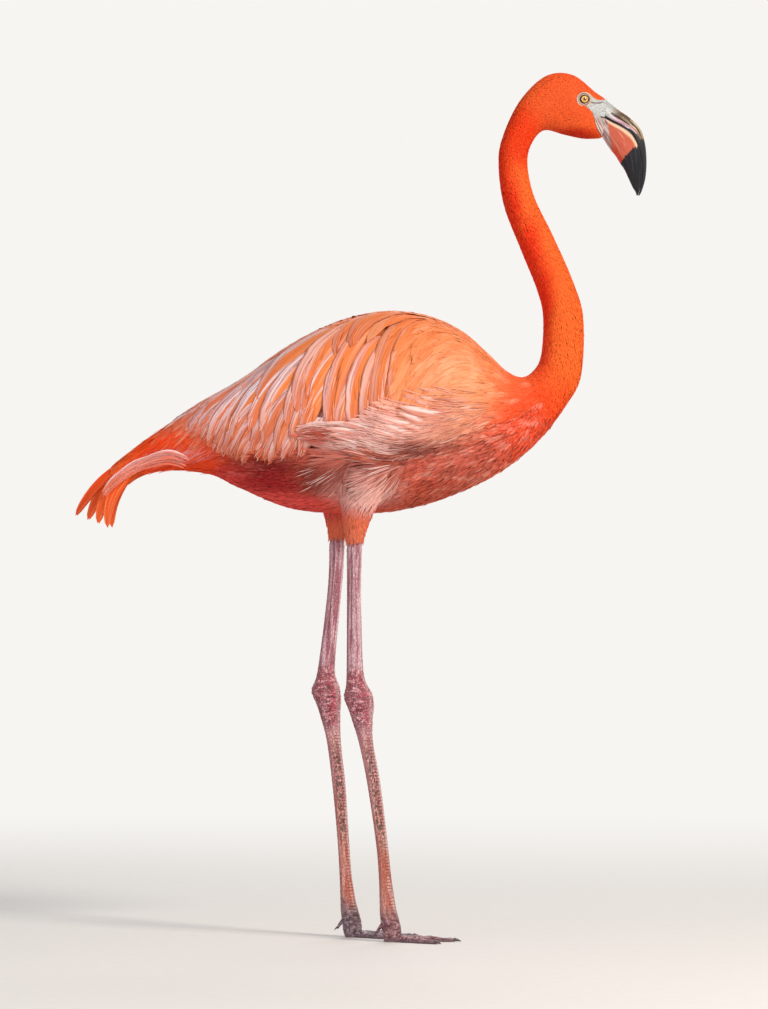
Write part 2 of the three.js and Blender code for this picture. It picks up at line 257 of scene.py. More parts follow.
def patch(place, centre, radii, soft):
    """1 inside an ellipsoid round centre and 0 outside, over a rim `soft` of its size wide."""
    away = vector("DIVIDE", vector("SUBTRACT", place, centre), radii)
    return ease(vector("LENGTH", away), 1 + soft, 1 - soft)


print("one kind of node a word, such as", colour("ff8000"))

# %% [markdown]
# ## Studio
#
# The floor is a plain pale disc that keeps the bird's shadow and fades into a plain white
# surround, so no horizon shows from any side. One large lamp stands high in front of the bird and
# a little to the viewer's side, and two soft lamps and the surround fill the shade.

# %% Floor, surround and lamps
WHITE = colour("f7f5f2")


def make_floor():
    bpy.ops.mesh.primitive_circle_add(vertices=96, radius=6, fill_type="NGON")
    floor = bpy.context.object
    floor.name = "floor"
    finish = Finish("pale floor", {"Roughness": 0.9, "Specular IOR Level": 0.1})
    place = finish.node("TexCoord", output="Object")
    grain = noise(place, 60.0)
    finish.paint("Base Color", mix(grain, "e4e1dc", "ebe8e4"))
    far = ease(vector("LENGTH", place), 1.0, 3.4)
    glow = finish.node("Emission", [WHITE, 1.0])
    seen = finish.node("LightPath", output="Is Camera Ray")
    seen = seen + finish.node("LightPath", output="Is Glossy Ray")
    seen = seen + finish.node("LightPath", output="Is Transmission Ray")
    surface = finish.node("MixShader", [far * seen, Signal(finish, finish.shader.outputs[0]), glow])
    finish.tree.links.new(surface.socket, finish.tree.nodes["Material Output"].inputs["Surface"])
    floor.data.materials.append(finish.material)


def make_world(strength):
    """Soft light from all round, and plain white where the camera looks past the bird."""
    world = bpy.data.worlds.new("surround")
    world.use_nodes = True
    tree = world.node_tree

    def add(kind, *outputs):
        made = tree.nodes.new("ShaderNode" + kind)
        for place, output in enumerate(outputs):
            tree.links.new(output, made.inputs[place])
        return made

    sky = tree.nodes["Background"]
    sky.inputs["Color"].default_value = colour("f4f6fb")
    sky.inputs["Strength"].default_value = strength
    backdrop = add("Background")
    backdrop.inputs["Color"].default_value = WHITE
    path = add("LightPath").outputs
    straight = add("Math", path["Is Camera Ray"], path["Is Glossy Ray"])
    seen = add("Math", straight.outputs[0], path["Is Transmission Ray"])
    chosen = add("MixShader", seen.outputs[0], sky.outputs[0], backdrop.outputs[0])
    tree.links.new(chosen.outputs[0], tree.nodes["World Output"].inputs["Surface"])
    bpy.context.scene.world = world


LAMP_AIM = (0.0, 0.0, 0.65)  # the middle of the bird, metres


def make_lamp(name, place, size, power, tint="ffffff"):
    """A square lamp at a place in metres that faces the middle of the bird."""
    lamp = bpy.data.objects.new(name, bpy.data.lights.new(name, "AREA"))
    lamp.data.size = size
    lamp.data.energy = power
    lamp.data.color = colour(tint)[:3]
    lamp.location = place
    aim = np.array(LAMP_AIM) - place
    flat = math.hypot(aim[0], aim[1])
    lamp.rotation_euler = (math.atan2(flat, -aim[2]), 0, math.atan2(-aim[0], aim[1]))
    bpy.context.collection.objects.link(lamp)


make_floor()
make_world(0.42)
make_lamp("key lamp", (2.4, -2.5, 2.9), 0.9, 128, "fff6ea")
make_lamp("fill lamp", (-2.6, -2.6, 1.6), 2.0, 28, "f4f3ff")
make_lamp("back lamp", (0.4, 3.0, 2.4), 1.8, 40)
print("studio ready")

# %% [markdown]
# ## Smooth tables
#
# The bird's shape is a few ribs with smooth curves through them. `through` draws the same curve as
# the solids do, for any number of places at once.

# %% Curves through rows of numbers
join = np.concatenate


def through(rows, t):
    """Curve through one row at each whole t. Between rows b and c, with a before and d after them:
    b + f/2 (c - a + f (2a - 5b + 4c - d + f (3b - 3c + d - a))), f being the way from b to c."""
    rows = np.asarray(rows, float)
    first = 2 * rows[:1] - rows[1:2]
    last = 2 * rows[-1:] - rows[-2:-1]
    padded = join([first, rows, last])
    t = np.clip(t, 0, len(rows) - 1)
    i = np.minimum(t.astype(int), len(rows) - 2)
    f = (t - i)[..., None]
    a, b, c, d = (padded[i + k] for k in range(4))
    return b + 0.5 * f * (c - a + f * (2 * a - 5 * b + 4 * c - d + f * (3 * (b - c) + d - a)))


def unit(vectors):
    return vectors / np.maximum(np.linalg.norm(vectors, axis=-1, keepdims=True), 1e-9)


def lerp(a, b, t):
    return a + (b - a) * t


def table(places, values):
    """A function of one number that runs straight between the given places."""
    return lambda at: np.interp(at, places, values)


def turns(count):
    """Equal steps once round a circle."""
    return np.linspace(0, 2 * math.pi, count, endpoint=False)


def grid(rows, columns):
    """Each number of the rows with each of the columns, as two arrays (R, C)."""
    return np.meshgrid(rows, columns, indexing="ij")


def wrapped(angle):
    """The same angle between -pi and pi."""
    return (np.asarray(angle) + math.pi) % (2 * math.pi) - math.pi


print("between 1 and 4, after 0 and before 9:", through([[0], [1], [4], [9]], np.array([1.5]))[0])

# %% [markdown]
# ## The body as a function
#
# One surface runs from the end of the tail coverts over the trunk and up the neck to the bill. It
# is a function of two numbers: the rib place `u`, and the angle `a` round the section from the
# back, positive on the left side and negative on the right.

# %% Body ribs
# Back point, belly point and half width of each section: [back X, back Z, belly X, belly Z, half].
BODY_RIBS = [
    [-336, 633, -326, 604, 17],  # 0 end of the tail coverts
    [-300, 661, -294, 625, 26],
    [-262, 688, -253, 633, 33],  # 2 tail base
    [-215, 719, -206, 628, 47],
    [-159, 751, -159, 606, 65],
    [-94, 796, -94, 580, 78],
    [-27, 829, -30, 574, 84],  # 6 middle of the back
    [40, 842, 34, 575, 84],
    [94, 836, 91, 586, 80],  # 8 shoulders
    [138, 816, 137, 603, 72],
    [171, 788, 177, 622, 60],
    [194, 766, 215, 648, 46],  # 11 root of the neck
    [214, 756, 249, 681, 36],
    [231, 763, 277, 718, 30],
    [243, 785, 297, 758, 27],
    [246, 836, 300, 836, 25],  # 15 foot of the rising neck
    [238, 873, 285, 888, 23],
    [215, 930, 258, 949, 21.5],
    [193, 988, 234, 999, 19.5],
    [186, 1042, 225, 1042, 18.5],
    [191, 1078, 230, 1069, 18.5],  # 20 nape
    [214, 1127, 247, 1088, 20.5],
    [249, 1161, 275, 1082, 24],  # 22 crown
    [285, 1163, 299, 1077, 24.5],
    [317, 1139, 318, 1077, 18],
    [331, 1130, 326, 1078, 14],  # 25 edge of the bill
]
BODY_END = len(BODY_RIBS) - 1
EGG = 0.08  # how much fuller a section is above its middle than below it


def body(u, a, out=0.0):
    """Middle of the section + unit back-to-belly axis * (half height + out) cos a, and
    y = (half width + out) sin a (1 + EGG cos a)."""
    u, a = np.broadcast_arrays(np.asarray(u, float), np.asarray(a, float))
    back_x, back_z, belly_x, belly_z, half = np.moveaxis(through(BODY_RIBS, u), -1, 0)
    up_x, up_z = (back_x - belly_x) / 2, (back_z - belly_z) / 2
    tall = np.hypot(up_x, up_z)
    reach = (1 + out / tall) * np.cos(a)
    y = (half + out) * np.sin(a) * (1 + EGG * np.cos(a))
    x, z = (back_x + belly_x) / 2, (back_z + belly_z) / 2
    return np.stack([x + up_x * reach, y, z + up_z * reach], -1)


# The folded wing swells the body between two edges, given in degrees round the section at each rib.
WING_RIB = [2.7, 3.2, 4, 5, 6, 7, 8, 9, 10, 10.5]
WING_UPPER = [50, 18, 4, 3, 3, 3, 9, 24, 48, 62]
WING_LOWER = [90, 103, 116, 115, 120, 120, 113, 103, 88, 76]
WING_BULGE = 7.5
HAUNCH = {"x": -2, "z": 628, "ahead": 46, "high": 30, "out": 13}


def wing_place(u, a):
    """Where a place lies on the folded wing: s from its rear to its front end, and v from its upper
    to its lower edge, each 0 to 1 on the wing."""
    s = np.interp(u, WING_RIB, np.arange(len(WING_RIB)) / (len(WING_RIB) - 1))
    upper = np.interp(u, WING_RIB, WING_UPPER)
    lower = np.interp(u, WING_RIB, WING_LOWER)
    return s, (np.degrees(np.abs(a)) - upper) / (lower - upper)


def swell(u, a):
    """Height over the bare trunk: the folded wing's bulge * (16 s (1 - s) v (1 - v)) ** 0.7, or the
    haunch's out * exp(-(x / ahead)^2 - (z / high)^2), whichever is more."""
    s, v = wing_place(u, wrapped(a))
    v = np.clip(v, 0, 1)
    wing = WING_BULGE * np.maximum(16 * s * (1 - s) * v * (1 - v), 0) ** 0.7
    x, y, z = np.moveaxis(body(u, a), -1, 0)
    off = ((x - HAUNCH["x"]) / HAUNCH["ahead"]) ** 2 + ((z - HAUNCH["z"]) / HAUNCH["high"]) ** 2
    return np.maximum(wing, HAUNCH["out"] * np.exp(-off) * np.clip(np.abs(y) / 40, 0, 1))


def trunk(u, a, out=0.0):
    """The body with its folded wings: body(u, a, out + swell)."""
    return body(u, a, out + swell(u, a))


print("body from", body(0, 0).round(), "to", body(BODY_END, 0).round())

# %% [markdown]
# ## Legs and feet as functions
#
# Each leg is a stack of level ellipses, from its root under the flank to the ball of the foot.

# %% Leg ribs
# Level sections: [right X, right Z, left X, left Z, half fore and aft, half across].
LEG_RIBS = [
    [6, 664, -4, 664, 34, 20],  # 0 root
    [5, 625, -12, 625, 41, 30],
    [-2, 580, -27, 577, 23, 19],
    [-7, 538, -31, 544, 12, 10.5],  # 3 cuff, where the feathers end
    [-8, 498, -33, 492, 9.7, 7.6],
    [-8, 440, -38, 437, 9.7, 7.4],
    [-6.5, 358, -46, 362, 11.6, 8.4],
    [-1, 327, -45.5, 333, 18.4, 12.5],  # 7 hock
    [3, 297, -41, 302, 14, 11],
    [8, 266, -36, 266, 9.6, 8],
    [18, 214, -29, 207, 8.9, 6.6],
    [28.5, 137, -23.5, 138, 7.9, 6],
    [33, 92, -20, 86, 8.2, 6.3],
    [36.5, 52, -16.5, 50, 10.4, 8.2],  # 13 ankle
    [38.5, 36, -14.5, 36, 12, 9.5],
    [41.5, 20, -11.5, 20, 13, 11],
    [42.5, 8, -10.5, 8, 12.5, 11.5],
    [42.5, 0, -10.5, 0, 10, 9.5],  # 17 sole
]
CUFF, SOLE = 3, 17
HIP_Y, FOOT_Y, HIP_RIBS = 48, 43, 6
LEG_COLUMN = {"right": 0, "left": 2}


def leg_on(side):
    """leg(t, a, out): the ellipse at rib place t, x = middle + (half + out) cos a, y alike by sin a,
    while y moves in from the hip's place to the foot's over the first ribs."""

    def leg(t, a, out=0.0):
        t, a = np.broadcast_arrays(np.asarray(t, float), np.asarray(a, float))
        row = np.moveaxis(through(LEG_RIBS, t), -1, 0)
        x, z = row[LEG_COLUMN[side] :][:2]
        y = SIDES[side] * lerp(HIP_Y, FOOT_Y, np.minimum(t / HIP_RIBS, 1))
        return np.stack([x + (row[4] + out) * np.cos(a), y + (row[5] + out) * np.sin(a), z + 0 * a], -1)

    return leg


print("legs stand on", leg_on("right")(SOLE, 0).round(), leg_on("left")(SOLE, 0).round())

# %% [markdown]
# ## Meshes from arrays
#
# Every new piece starts as an array of points and arrays of corners. Rings of points become closed
# tubes; thousands of equal blades become one mesh by repeating one pattern of corners.

# %% Mesh helpers


def tube_faces(count, sides, start=0):
    """Quads between rings of points, and a ring's point numbers m and those n of their neighbours."""
    m = np.arange(sides)
    n = (m + 1) % sides
    r = start + np.arange(count - 1)[:, None] * sides
    return np.stack([r + m, r + n, r + sides + n, r + sides + m], -1).reshape(-1, 4), m, n


def loft(rings):
    """Points and faces of a closed tube through rings (R, M, 3), with a fan over each end."""
    count, sides = rings.shape[:2]
    ends = [rings[0].mean(0), rings[-1].mean(0)]
    points = join([rings.reshape(-1, 3), ends])
    quads, m, n = tube_faces(count, sides)
    low, high, last = count * sides, count * sides + 1, (count - 1) * sides
    first_fan = np.stack([n, m, low + 0 * m], -1)
    last_fan = np.stack([last + m, last + n, high + 0 * m], -1)
    return outward(points, [quads, join([first_fan, last_fan])])


def outward(points, faces):
    """Turns the faces round if the signed volume, the sum of a . (b x c) / 6, is negative."""
    fan = [f[:, [0, k, k + 1]] for f in faces for k in range(1, f.shape[1] - 1)]
    a, b, c = np.moveaxis(points[join(fan)], 1, 0)
    if np.sum(a * np.cross(b, c)) < 0:
        faces = [f[:, ::-1] for f in faces]
    return points, faces


def grid_faces(rows, columns):
    r, c = np.mgrid[: rows - 1, : columns - 1]
    at = (r * columns + c).reshape(-1)
    return np.stack([at, at + 1, at + columns + 1, at + columns], -1)


def sheet(upper, lower):
    """A closed layer between two grids of points (R, C, 3), with a wall round its edge."""
    rows, columns = upper.shape[:2]
    points = join([upper.reshape(-1, 3), lower.reshape(-1, 3)])
    top = grid_faces(rows, columns)
    r, c = np.arange(rows), np.arange(columns)
    right = r[1:] * columns + columns - 1
    far = (rows - 1) * columns + c[::-1][1:]
    rim = join([c, right, far, r[::-1][1:-1] * columns])
    ahead = np.roll(rim, -1)
    half = rows * columns
    wall = np.stack([ahead, rim, rim + half, ahead + half], -1)
    return outward(points, [join([top, top[:, ::-1] + half, wall])])


def gather(shapes):
    """Several (points, faces) as one, with their corners renumbered."""
    points, faces, start = [], [], 0
    for each_points, each_faces in shapes:
        points.append(each_points)
        faces += [f + start for f in each_faces]
        start += len(each_points)
    return join(points), faces


def make_object(name, points, faces, materials, face_material=None, vertex_data=(), uv=None, sharp=None):
    """One smooth-shaded object at the origin. vertex_data maps names to vectors, uv is per point,
    and an edge between two `sharp` points stays a crease."""
    mesh = bpy.data.meshes.new(name)
    mesh.vertices.add(len(points))
    mesh.vertices.foreach_set("co", metres(points).ravel())
    corners = join([f.ravel() for f in faces])
    sizes = join([np.full(len(f), f.shape[1]) for f in faces])
    mesh.loops.add(len(corners))
    mesh.loops.foreach_set("vertex_index", corners)
    mesh.polygons.add(len(sizes))
    mesh.polygons.foreach_set("loop_start", join([[0], np.cumsum(sizes)[:-1]]))
    for finish in materials:
        mesh.materials.append(finish.material)
    if face_material is not None:
        mesh.polygons.foreach_set("material_index", face_material)
    mesh.update(calc_edges=True)
    mesh.validate()
    mesh.shade_smooth()
    for key, values in dict(vertex_data).items():
        mesh.attributes.new(key, "FLOAT_VECTOR", "POINT").data.foreach_set("vector", values.ravel())
    if uv is not None:
        mesh.uv_layers.new(name="OFBake").data.foreach_set("uv", uv[corners].ravel())
    if sharp is not None:
        ends = np.empty(2 * len(mesh.edges), int)
        mesh.edges.foreach_get("vertices", ends)
        crease = sharp[ends].reshape(-1, 2).all(1)
        mesh.attributes.new("sharp_edge", "BOOLEAN", "EDGE").data.foreach_set("value", crease)
    made = bpy.data.objects.new(name, mesh)
    bpy.context.collection.objects.link(made)
    return made


print("mesh helpers ready")

# %% [markdown]
# ## Markings
#
# Skin and feathers carry the same colours, so the colours are one function of the place on the
# bird: red-orange everywhere, and over it one soft patch after another. Some of the patches are
# painted shade or a painted highlight, as noted beside each. A feather asks for the colour at its
# root, so that it is one feather of one colour.

# %% The bird's colours by place
FLAME = "f46524"  # red-orange, where no patch lies
# Each patch: colour, centre [X, |Y|, Z], radii and softness, laid one over the other.
PATCHES = [
    ("ee5826", (275, 0, 1130), (60, 60, 52), 0.35),  # head
    ("c82004", (292, 0, 1082), (34, 40, 9), 0.6),  # under the jaw, painted shade
    ("ea3408", (212, 0, 1085), (34, 60, 40), 0.5),  # throat and nape
    ("ee2804", (180, 0, 1040), (19, 60, 50), 0.5),  # rear of the neck, from the nape down, painted deeper red as shade on the side turned from the light
    ("ee2804", (198, 0, 980), (17, 60, 55), 0.5),
    ("ee2804", (223, 0, 925), (17, 60, 50), 0.5),
    ("ee2404", (241, 0, 860), (17, 60, 60), 0.5),
    ("ee2804", (240, 0, 795), (18, 60, 45), 0.5),
    ("f2481a", (225, 0, 700), (75, 90, 72), 0.4),  # root of the neck
    ("d05a46", (130, 60, 650), (85, 75, 54), 0.4),  # breast
    ("c64c32", (85, 40, 598), (120, 90, 30), 0.5),  # lower breast
    ("d23a34", (-130, 0, 600), (150, 90, 62), 0.3),  # belly, rear
    ("a02c04", (-190, 60, 650), (78, 60, 14), 0.7),  # rump's deep red under the plumes' fringe, darkened further as painted shade
    ("ff4a0c", (-205, 60, 672), (32, 60, 16), 0.6),
    ("9c201c", (-95, 60, 632), (62, 60, 16), 0.8),  # belly under it, painted shadow of the fringe
    ("ec864e", (75, 0, 790), (150, 150, 86), 0.35),  # mantle
    ("f09e6e", (115, 75, 745), (90, 60, 66), 0.4),  # shoulder
    ("e0703c", (38, 75, 745), (48, 60, 28), 0.6),  # hollow behind the shoulder, painted shade
    ("f2b09c", (98, 85, 727), (44, 60, 13), 0.7),  # pale edge below the shoulder
    ("f2894a", (-30, 60, 775), (120, 90, 70), 0.35),  # scapulars
    ("e27e60", (-165, 60, 720), (105, 90, 58), 0.35),  # rear scapulars
    ("e0b4b0", (-120, 0, 805), (150, 22, 75), 0.5),  # back line
    ("f04410", (-240, 30, 655), (75, 60, 42), 0.35),  # rump and upper tail coverts
    ("f4682c", (-325, 0, 620), (60, 60, 62), 0.35),  # tail
    ("bc5442", (-45, 75, 640), (62, 60, 62), 0.4),  # haunch
    ("dc7258", (-55, 75, 682), (38, 60, 17), 0.7),  # haunch, upper edge
    ("a04232", (-62, 75, 622), (36, 60, 24), 0.6),  # haunch, rear edge, darkened as painted shade
    ("74120e", (-102, 60, 634), (34, 60, 15), 0.8),  # belly behind the haunch, painted shadow
    ("9c1418", (-102, 60, 608), (40, 60, 20), 0.7),
    ("e04a44", (-95, 40, 586), (80, 90, 13), 0.6),  # belly, lower edge
    ("f3a68e", (95, 85, 702), (62, 60, 34), 0.6),  # lower wing coverts, front
    ("fac0b4", (15, 85, 682), (72, 60, 24), 0.5),  # lower wing coverts, rear
    ("f6dad4", (-30, 85, 696), (50, 60, 9), 0.9),  # their upper edge, pale, and paler still as a painted highlight
    ("cc5c48", (-42, 85, 674), (46, 60, 11), 0.9),  # painted shadow in the hollow under it
    ("f2cac2", (24, 85, 659), (42, 60, 6), 0.8),  # their lower strands
    ("a45040", (116, 85, 667), (36, 60, 9), 0.8),  # painted shade in the hollow in front
    ("8c443c", (10, 75, 636), (46, 60, 9), 0.9),  # painted shadow in the fold below the wing
    ("8c443c", (55, 75, 646), (26, 60, 6), 0.9),
    ("8c443c", (92, 75, 661), (26, 60, 6), 0.9),
    ("f6bcb2", (20, 75, 606), (42, 60, 22), 0.8),  # front of the thigh, pale, with a painted highlight along it
    ("e4704c", (-14, 45, 552), (44, 40, 28), 0.6),  # cuff
    ("f6e2e6", (-252, 56, 654), (46, 20, 14), 0.7),  # under tail coverts
]


def markings(place):
    """The plumage's colour at a layout place, painted shade and highlights of the patches included."""
    shade = FLAME
    for code, centre, radii, soft in PATCHES:
        shade = mix(patch(place, centre, radii, soft), shade, code)
    return shade


print(len(PATCHES), "markings")

# %% [markdown]
# ## Skin finishes
#
# Under the feathers the skin shows only as depth between them. The bare parts are a pale wrinkled
# face, pink scaly legs and darker, purplish feet with thin webs.

# %% Skin under the feathers and on the face


def skin_under_feathers():
    finish = Finish("skin under feathers", {"Roughness": 0.8, "Specular IOR Level": 0.2})
    place = finish.place()
    finish.paint("Base Color", mix(0.35, markings(place), "a02a12"))
    finish.bump(noise(place, 0.5), 0.3, 0.001)
    return finish


def bare_face_skin():
    """Smooth pale grey lores, streaked folds down the gape, cream lids, and dark creases under the
    brow, round the lids and behind them: painted shade over the grooves that the bump carves. The
    lids' dark inner edge is partly their own rim and partly painted shade, and the mouth's corner is
    a dark line of painted shade."""
    finish = Finish("bare face skin", {"Roughness": 0.5, "Specular IOR Level": 0.4})
    place = finish.place()
    x, _, z = split(place)
    folds = noise(vector("MULTIPLY", place, (0.25, 0.4, 0.5)), 1.0, 4.0)
    pores = noise(place, 0.9, 3.0)
    lines = noise(combine(x * 0.9 + z * 0.43, 0.0, z * 0.05), 0.85, 2.0)
    gape = ease(z, 1109, 1102)
    far = vector("LENGTH", combine(x - EYE["x"], 0.0, z - EYE["z"]))
    sag = z - ((x - 316) * (x - 316) * 0.02 + 1123.8)
    brow = ease(abs(sag), 1.5, 0.2) * ease(x, 308, 311) * ease(x, 328, 323)
    inner_lid = ease(abs(far - 7.7), 0.8, 0.1)
    outer_lid = ease(abs(far - 10.4), 0.8, 0.2) * ease(x, 305, 298)
    creases = most(brow, inner_lid + outer_lid)
    shade = mix(ease(folds, 0.35, 0.65), "9ca09f", "c2c6c3")
    streaks = mix(ease(lines, 0.38, 0.6), "8a6c69", "d8c6c0")
    shade = mix(gape, shade, streaks)
    shade = mix(ease(far, 11.0, 9.8) * 0.85, shade, "dcc0a8")
    # the lids' dark inner edge: partly their own rim, partly painted shade where they overhang the eye
    shade = mix(ease(far, 6.5, 5.9), shade, "6a3226")
    mouth = ease(abs(z + x * 0.15 - 1153.7), 1.5, 0.5) * ease(x, 320, 324)
    # painted shade in the creases
    shade = mix(creases * 0.85, shade, "5c3430")
    # the mouth's corner, a dark line of painted shade
    shade = mix(mouth, shade, "241a1c")
    finish.paint("Base Color", mix(ease(pores, 0.55, 0.7) * 0.25, shade, "8d8482"))
    finish.bump(folds * 0.4 + lines * gape + pores * 0.3 - creases, 0.5, 0.0012)
    return finish


print("face and body skin defined")

# %% Leg skin material
PLATE = 3.2  # width of a plate of the leg's skin, mm
LEG_SCALE = 4.2  # height of a row of scales, mm


def bare_leg_skin(side, foot_dark, foot_pale):
    """Across runs from -1 at the leg's rear edge to 1 at its front edge; a ramp of the height gives
    each section's middle and half width. The shank has grooves and pale lines down its length, the
    hock red wrinkled knobs, the tarsus rows of plates in front and dark specks beside them. The
    knobs' pale tops are partly painted highlight, the dark wrinkles of hock and feet painted shade,
    the rear edge is darkened by painted shade and the front edge brightened by a painted highlight."""
    finish = Finish(f"leg skin {side}", {"Specular IOR Level": 0.45})
    place = finish.place()
    x, y, z = split(place)
    first = LEG_COLUMN[side]
    ribs = LEG_RIBS[: CUFF - 1 : -1]
    rows = [(rib[first + 1] / 600, (rib[first] / 120 + 0.5, rib[4] / 20, 0, 1)) for rib in ribs]
    middle, half, _ = split(node("ValToRGB", [z / 600], stops=rows))
    across = (x + 60 - middle * 120) / (half * 20)
    plates = {"Vector": vector("MULTIPLY", place, (1, 1, 0.6)), "Scale": 1 / PLATE}
    seam = node("TexVoronoi", plates, feature="DISTANCE_TO_EDGE")
    tone = split(node("TexVoronoi", plates, output="Color"))[0]
    cloud = noise(vector("MULTIPLY", place, (1, 1, 0.35)), 0.09, 4.0)
    lines = noise(combine(across * 2.4, y * 0.3, z * 0.02), 1.0, 3.0)
    folds = noise(combine(across * 2.2, y * 0.25, z * 0.2), 1.0, 4.0)
    specks = noise(vector("MULTIPLY", place, (1, 1, 0.7)), 0.42, 3.0)
    wave = finish.node("Math", [z * (math.pi / LEG_SCALE)], operation="SINE")
    shade = mix(ease(lines, 0.42, 0.6), "a55f70", "dfb4be")
    groove = ease(abs(across + lines * 0.5 + 0.1), 0.16, 0.03) * ease(z, 380, 420)
    shade = mix(groove * 0.8, shade, "703e4a")
    dashes = ease(abs(across - 0.28), 0.12, 0.04) * ease(folds, 0.48, 0.58) * ease(z, 370, 400)
    shade = mix(dashes * 0.7, shade, "7c4450")
    low = ease(z, 300, 262)
    warm = mix(ease(z, 240, 110), "c47a7e", "c26246")
    warm = mix(ease(lines, 0.44, 0.6) * 0.75, warm, "eeb4a8")
    shade = mix(low, shade, warm)
    rims = ease(abs(wave), 0.45, 0.1) * ease(across, 0.0, 0.35) * low
    shade = mix(rims * 0.75, shade, "8c3c34")
    spots = ease(specks, 0.46, 0.54) * ease(abs(across - 0.1), 0.75, 0.35)
    spots = spots * ease(z, 105, 150) * ease(z, 285, 240)
    shade = mix(spots * 0.95, shade, "4e392c")
    hock = ease(abs(z + folds * 16 - 333), 50, 30)
    # the knobs' pale tops: partly their own pink, partly painted highlight
    knobs = mix(ease(folds, 0.44, 0.6), "a8364a", "f6b0b8")
    slant = combine(across * 1.6 + z * 0.06, y * 0.2, z * 0.34 - across * 0.9)
    rills = noise(slant, 1.0, 2.0)
    knobs = mix(ease(across + cloud, 0.55, 0.8) * 0.5, knobs, "e0566c")
    # dark wrinkles: painted shade in the creases
    wrinkles = ease(abs(rills - 0.5), 0.05, 0.01)
    knobs = mix(wrinkles, knobs, "421a22")
    shade = mix(hock * 0.9, shade, knobs)
    # painted shade along the rear edge, and a painted highlight along the front edge
    shade = mix(ease(across, -0.55, -0.95) * 0.6, shade, "8e3c40")
    shade = mix(ease(across, 0.5, 0.9) * ease(lines, 0.35, 0.55) * 0.6, shade, "f2d2d2")
    foot = ease(z + cloud * 36, 72, 44)
    skin = mix(ease(folds, 0.42, 0.6), foot_dark, foot_pale)
    # the foot's dark wrinkles: painted shade in the creases
    skin = mix(wrinkles * 0.5, skin, "2c1c24")
    skin = mix(ease(z, 5.0, 3.8) * 0.7, skin, "77646f")
    shade = mix(foot, shade, skin)
    shade = mix(tone * 0.2, shade, "e4bcb8")
    shade = mix(ease(seam, 0.1, 0.0) * 0.55, shade, "7a3c42")
    finish.paint("Base Color", shade)
    finish.paint("Roughness", node("MapRange", [cloud, 0.3, 0.7, 0.4, 0.58]))
    carved = ease(seam, 0.0, 0.16) * 0.6 + lines * 0.8 + folds * (hock + foot)
    finish.bump(carved - groove - rims - wrinkles * (hock + foot), 0.9, 0.001)
    return finish


UNDER, FACE = 0, 1
LEG = {"right": 2, "left": 3}
skin_finishes = [
    skin_under_feathers(),
    bare_face_skin(),
    # the far (left) foot is painted darker and greyer than the near one, as painted shade
    bare_leg_skin("right", "6c343e", "cb98a0"),
    bare_leg_skin("left", "483744", "a393a0"),
]
print("skin finishes:", [finish.material.name for finish in skin_finishes])

# %% [markdown]
# ## One skin
#
# The skin follows the body and the legs, sunk by the coat's depth where feathers grow and level
# with the solids where it is bare. Trunk, legs, toes and webs are closed shells at first, and a
# union makes them one, so that no seam shows.

# %% Body skin
COAT_DEPTH = table([0, 2, 4, 8, 11, 13, 20, 21.5, 25], [2.2, 3.5, 5, 5, 4, 2.6, 2.2, 1.4, 1.1])
FACE_REAR = table(
    [1070, 1077, 1089, 1095, 1105, 1111, 1118, 1140],
    [329, 327, 318.5, 316.4, 313.8, 311.8, 304, 300],
)
BROW = table([300, 309, 314, 320, 332], [1139, 1135.6, 1131, 1128.4, 1129.8])
EYE_RING = 10.0  # bare skin round the eye's middle, mm
SOCKET = {"reach": 10.5, "deep": 5.5}
BARE_DEPTH = 0.15  # bare skin under the solids' surface, mm
HEAD_START = 22  # from this rib on the face may be bare


def on_face(points):
    """True on the bare skin: the eye's ring, and from there forward under the brow line."""
    x, _, z = np.moveaxis(points, -1, 0)
    ring = np.hypot(x - EYE["x"], z - EYE["z"]) < EYE_RING
    return ring | ((x > FACE_REAR(z)) & (z < BROW(x)) & (x > 300))


def body_skin(columns=128, step=0.17, fine=0.035):
    """The body's rings, finer on the head. Round the eyes the skin sinks into a socket."""
    u = join([np.arange(0, 21.5, step), np.arange(21.5, BODY_END, fine), [BODY_END]])
    a = turns(columns)
    u, a = grid(u, a)
    depth = COAT_DEPTH(u)
    place, on_head = body(u, a), u > HEAD_START
    depth = np.where(on_face(place) & on_head, BARE_DEPTH, depth)
    off = np.hypot(place[..., 0] - EYE["x"], place[..., 2] - EYE["z"]) / SOCKET["reach"]
    depth = depth + SOCKET["deep"] * np.clip(1.6 * (1 - off), 0, 1) ** 1.5 * on_head
    rings = body(u, a, swell(u, a) * 0.9 - depth)
    points, faces = loft(rings)
    kinds = [np.where(on_face(points[f].mean(1)), FACE, UNDER) for f in faces]
    return points, faces, join(kinds)


print("the skin lies", COAT_DEPTH([2, 8, 20]), "mm deep at the tail, the back and the nape")

# %% Leg skin
HOCK = 7  # the rib of the hock


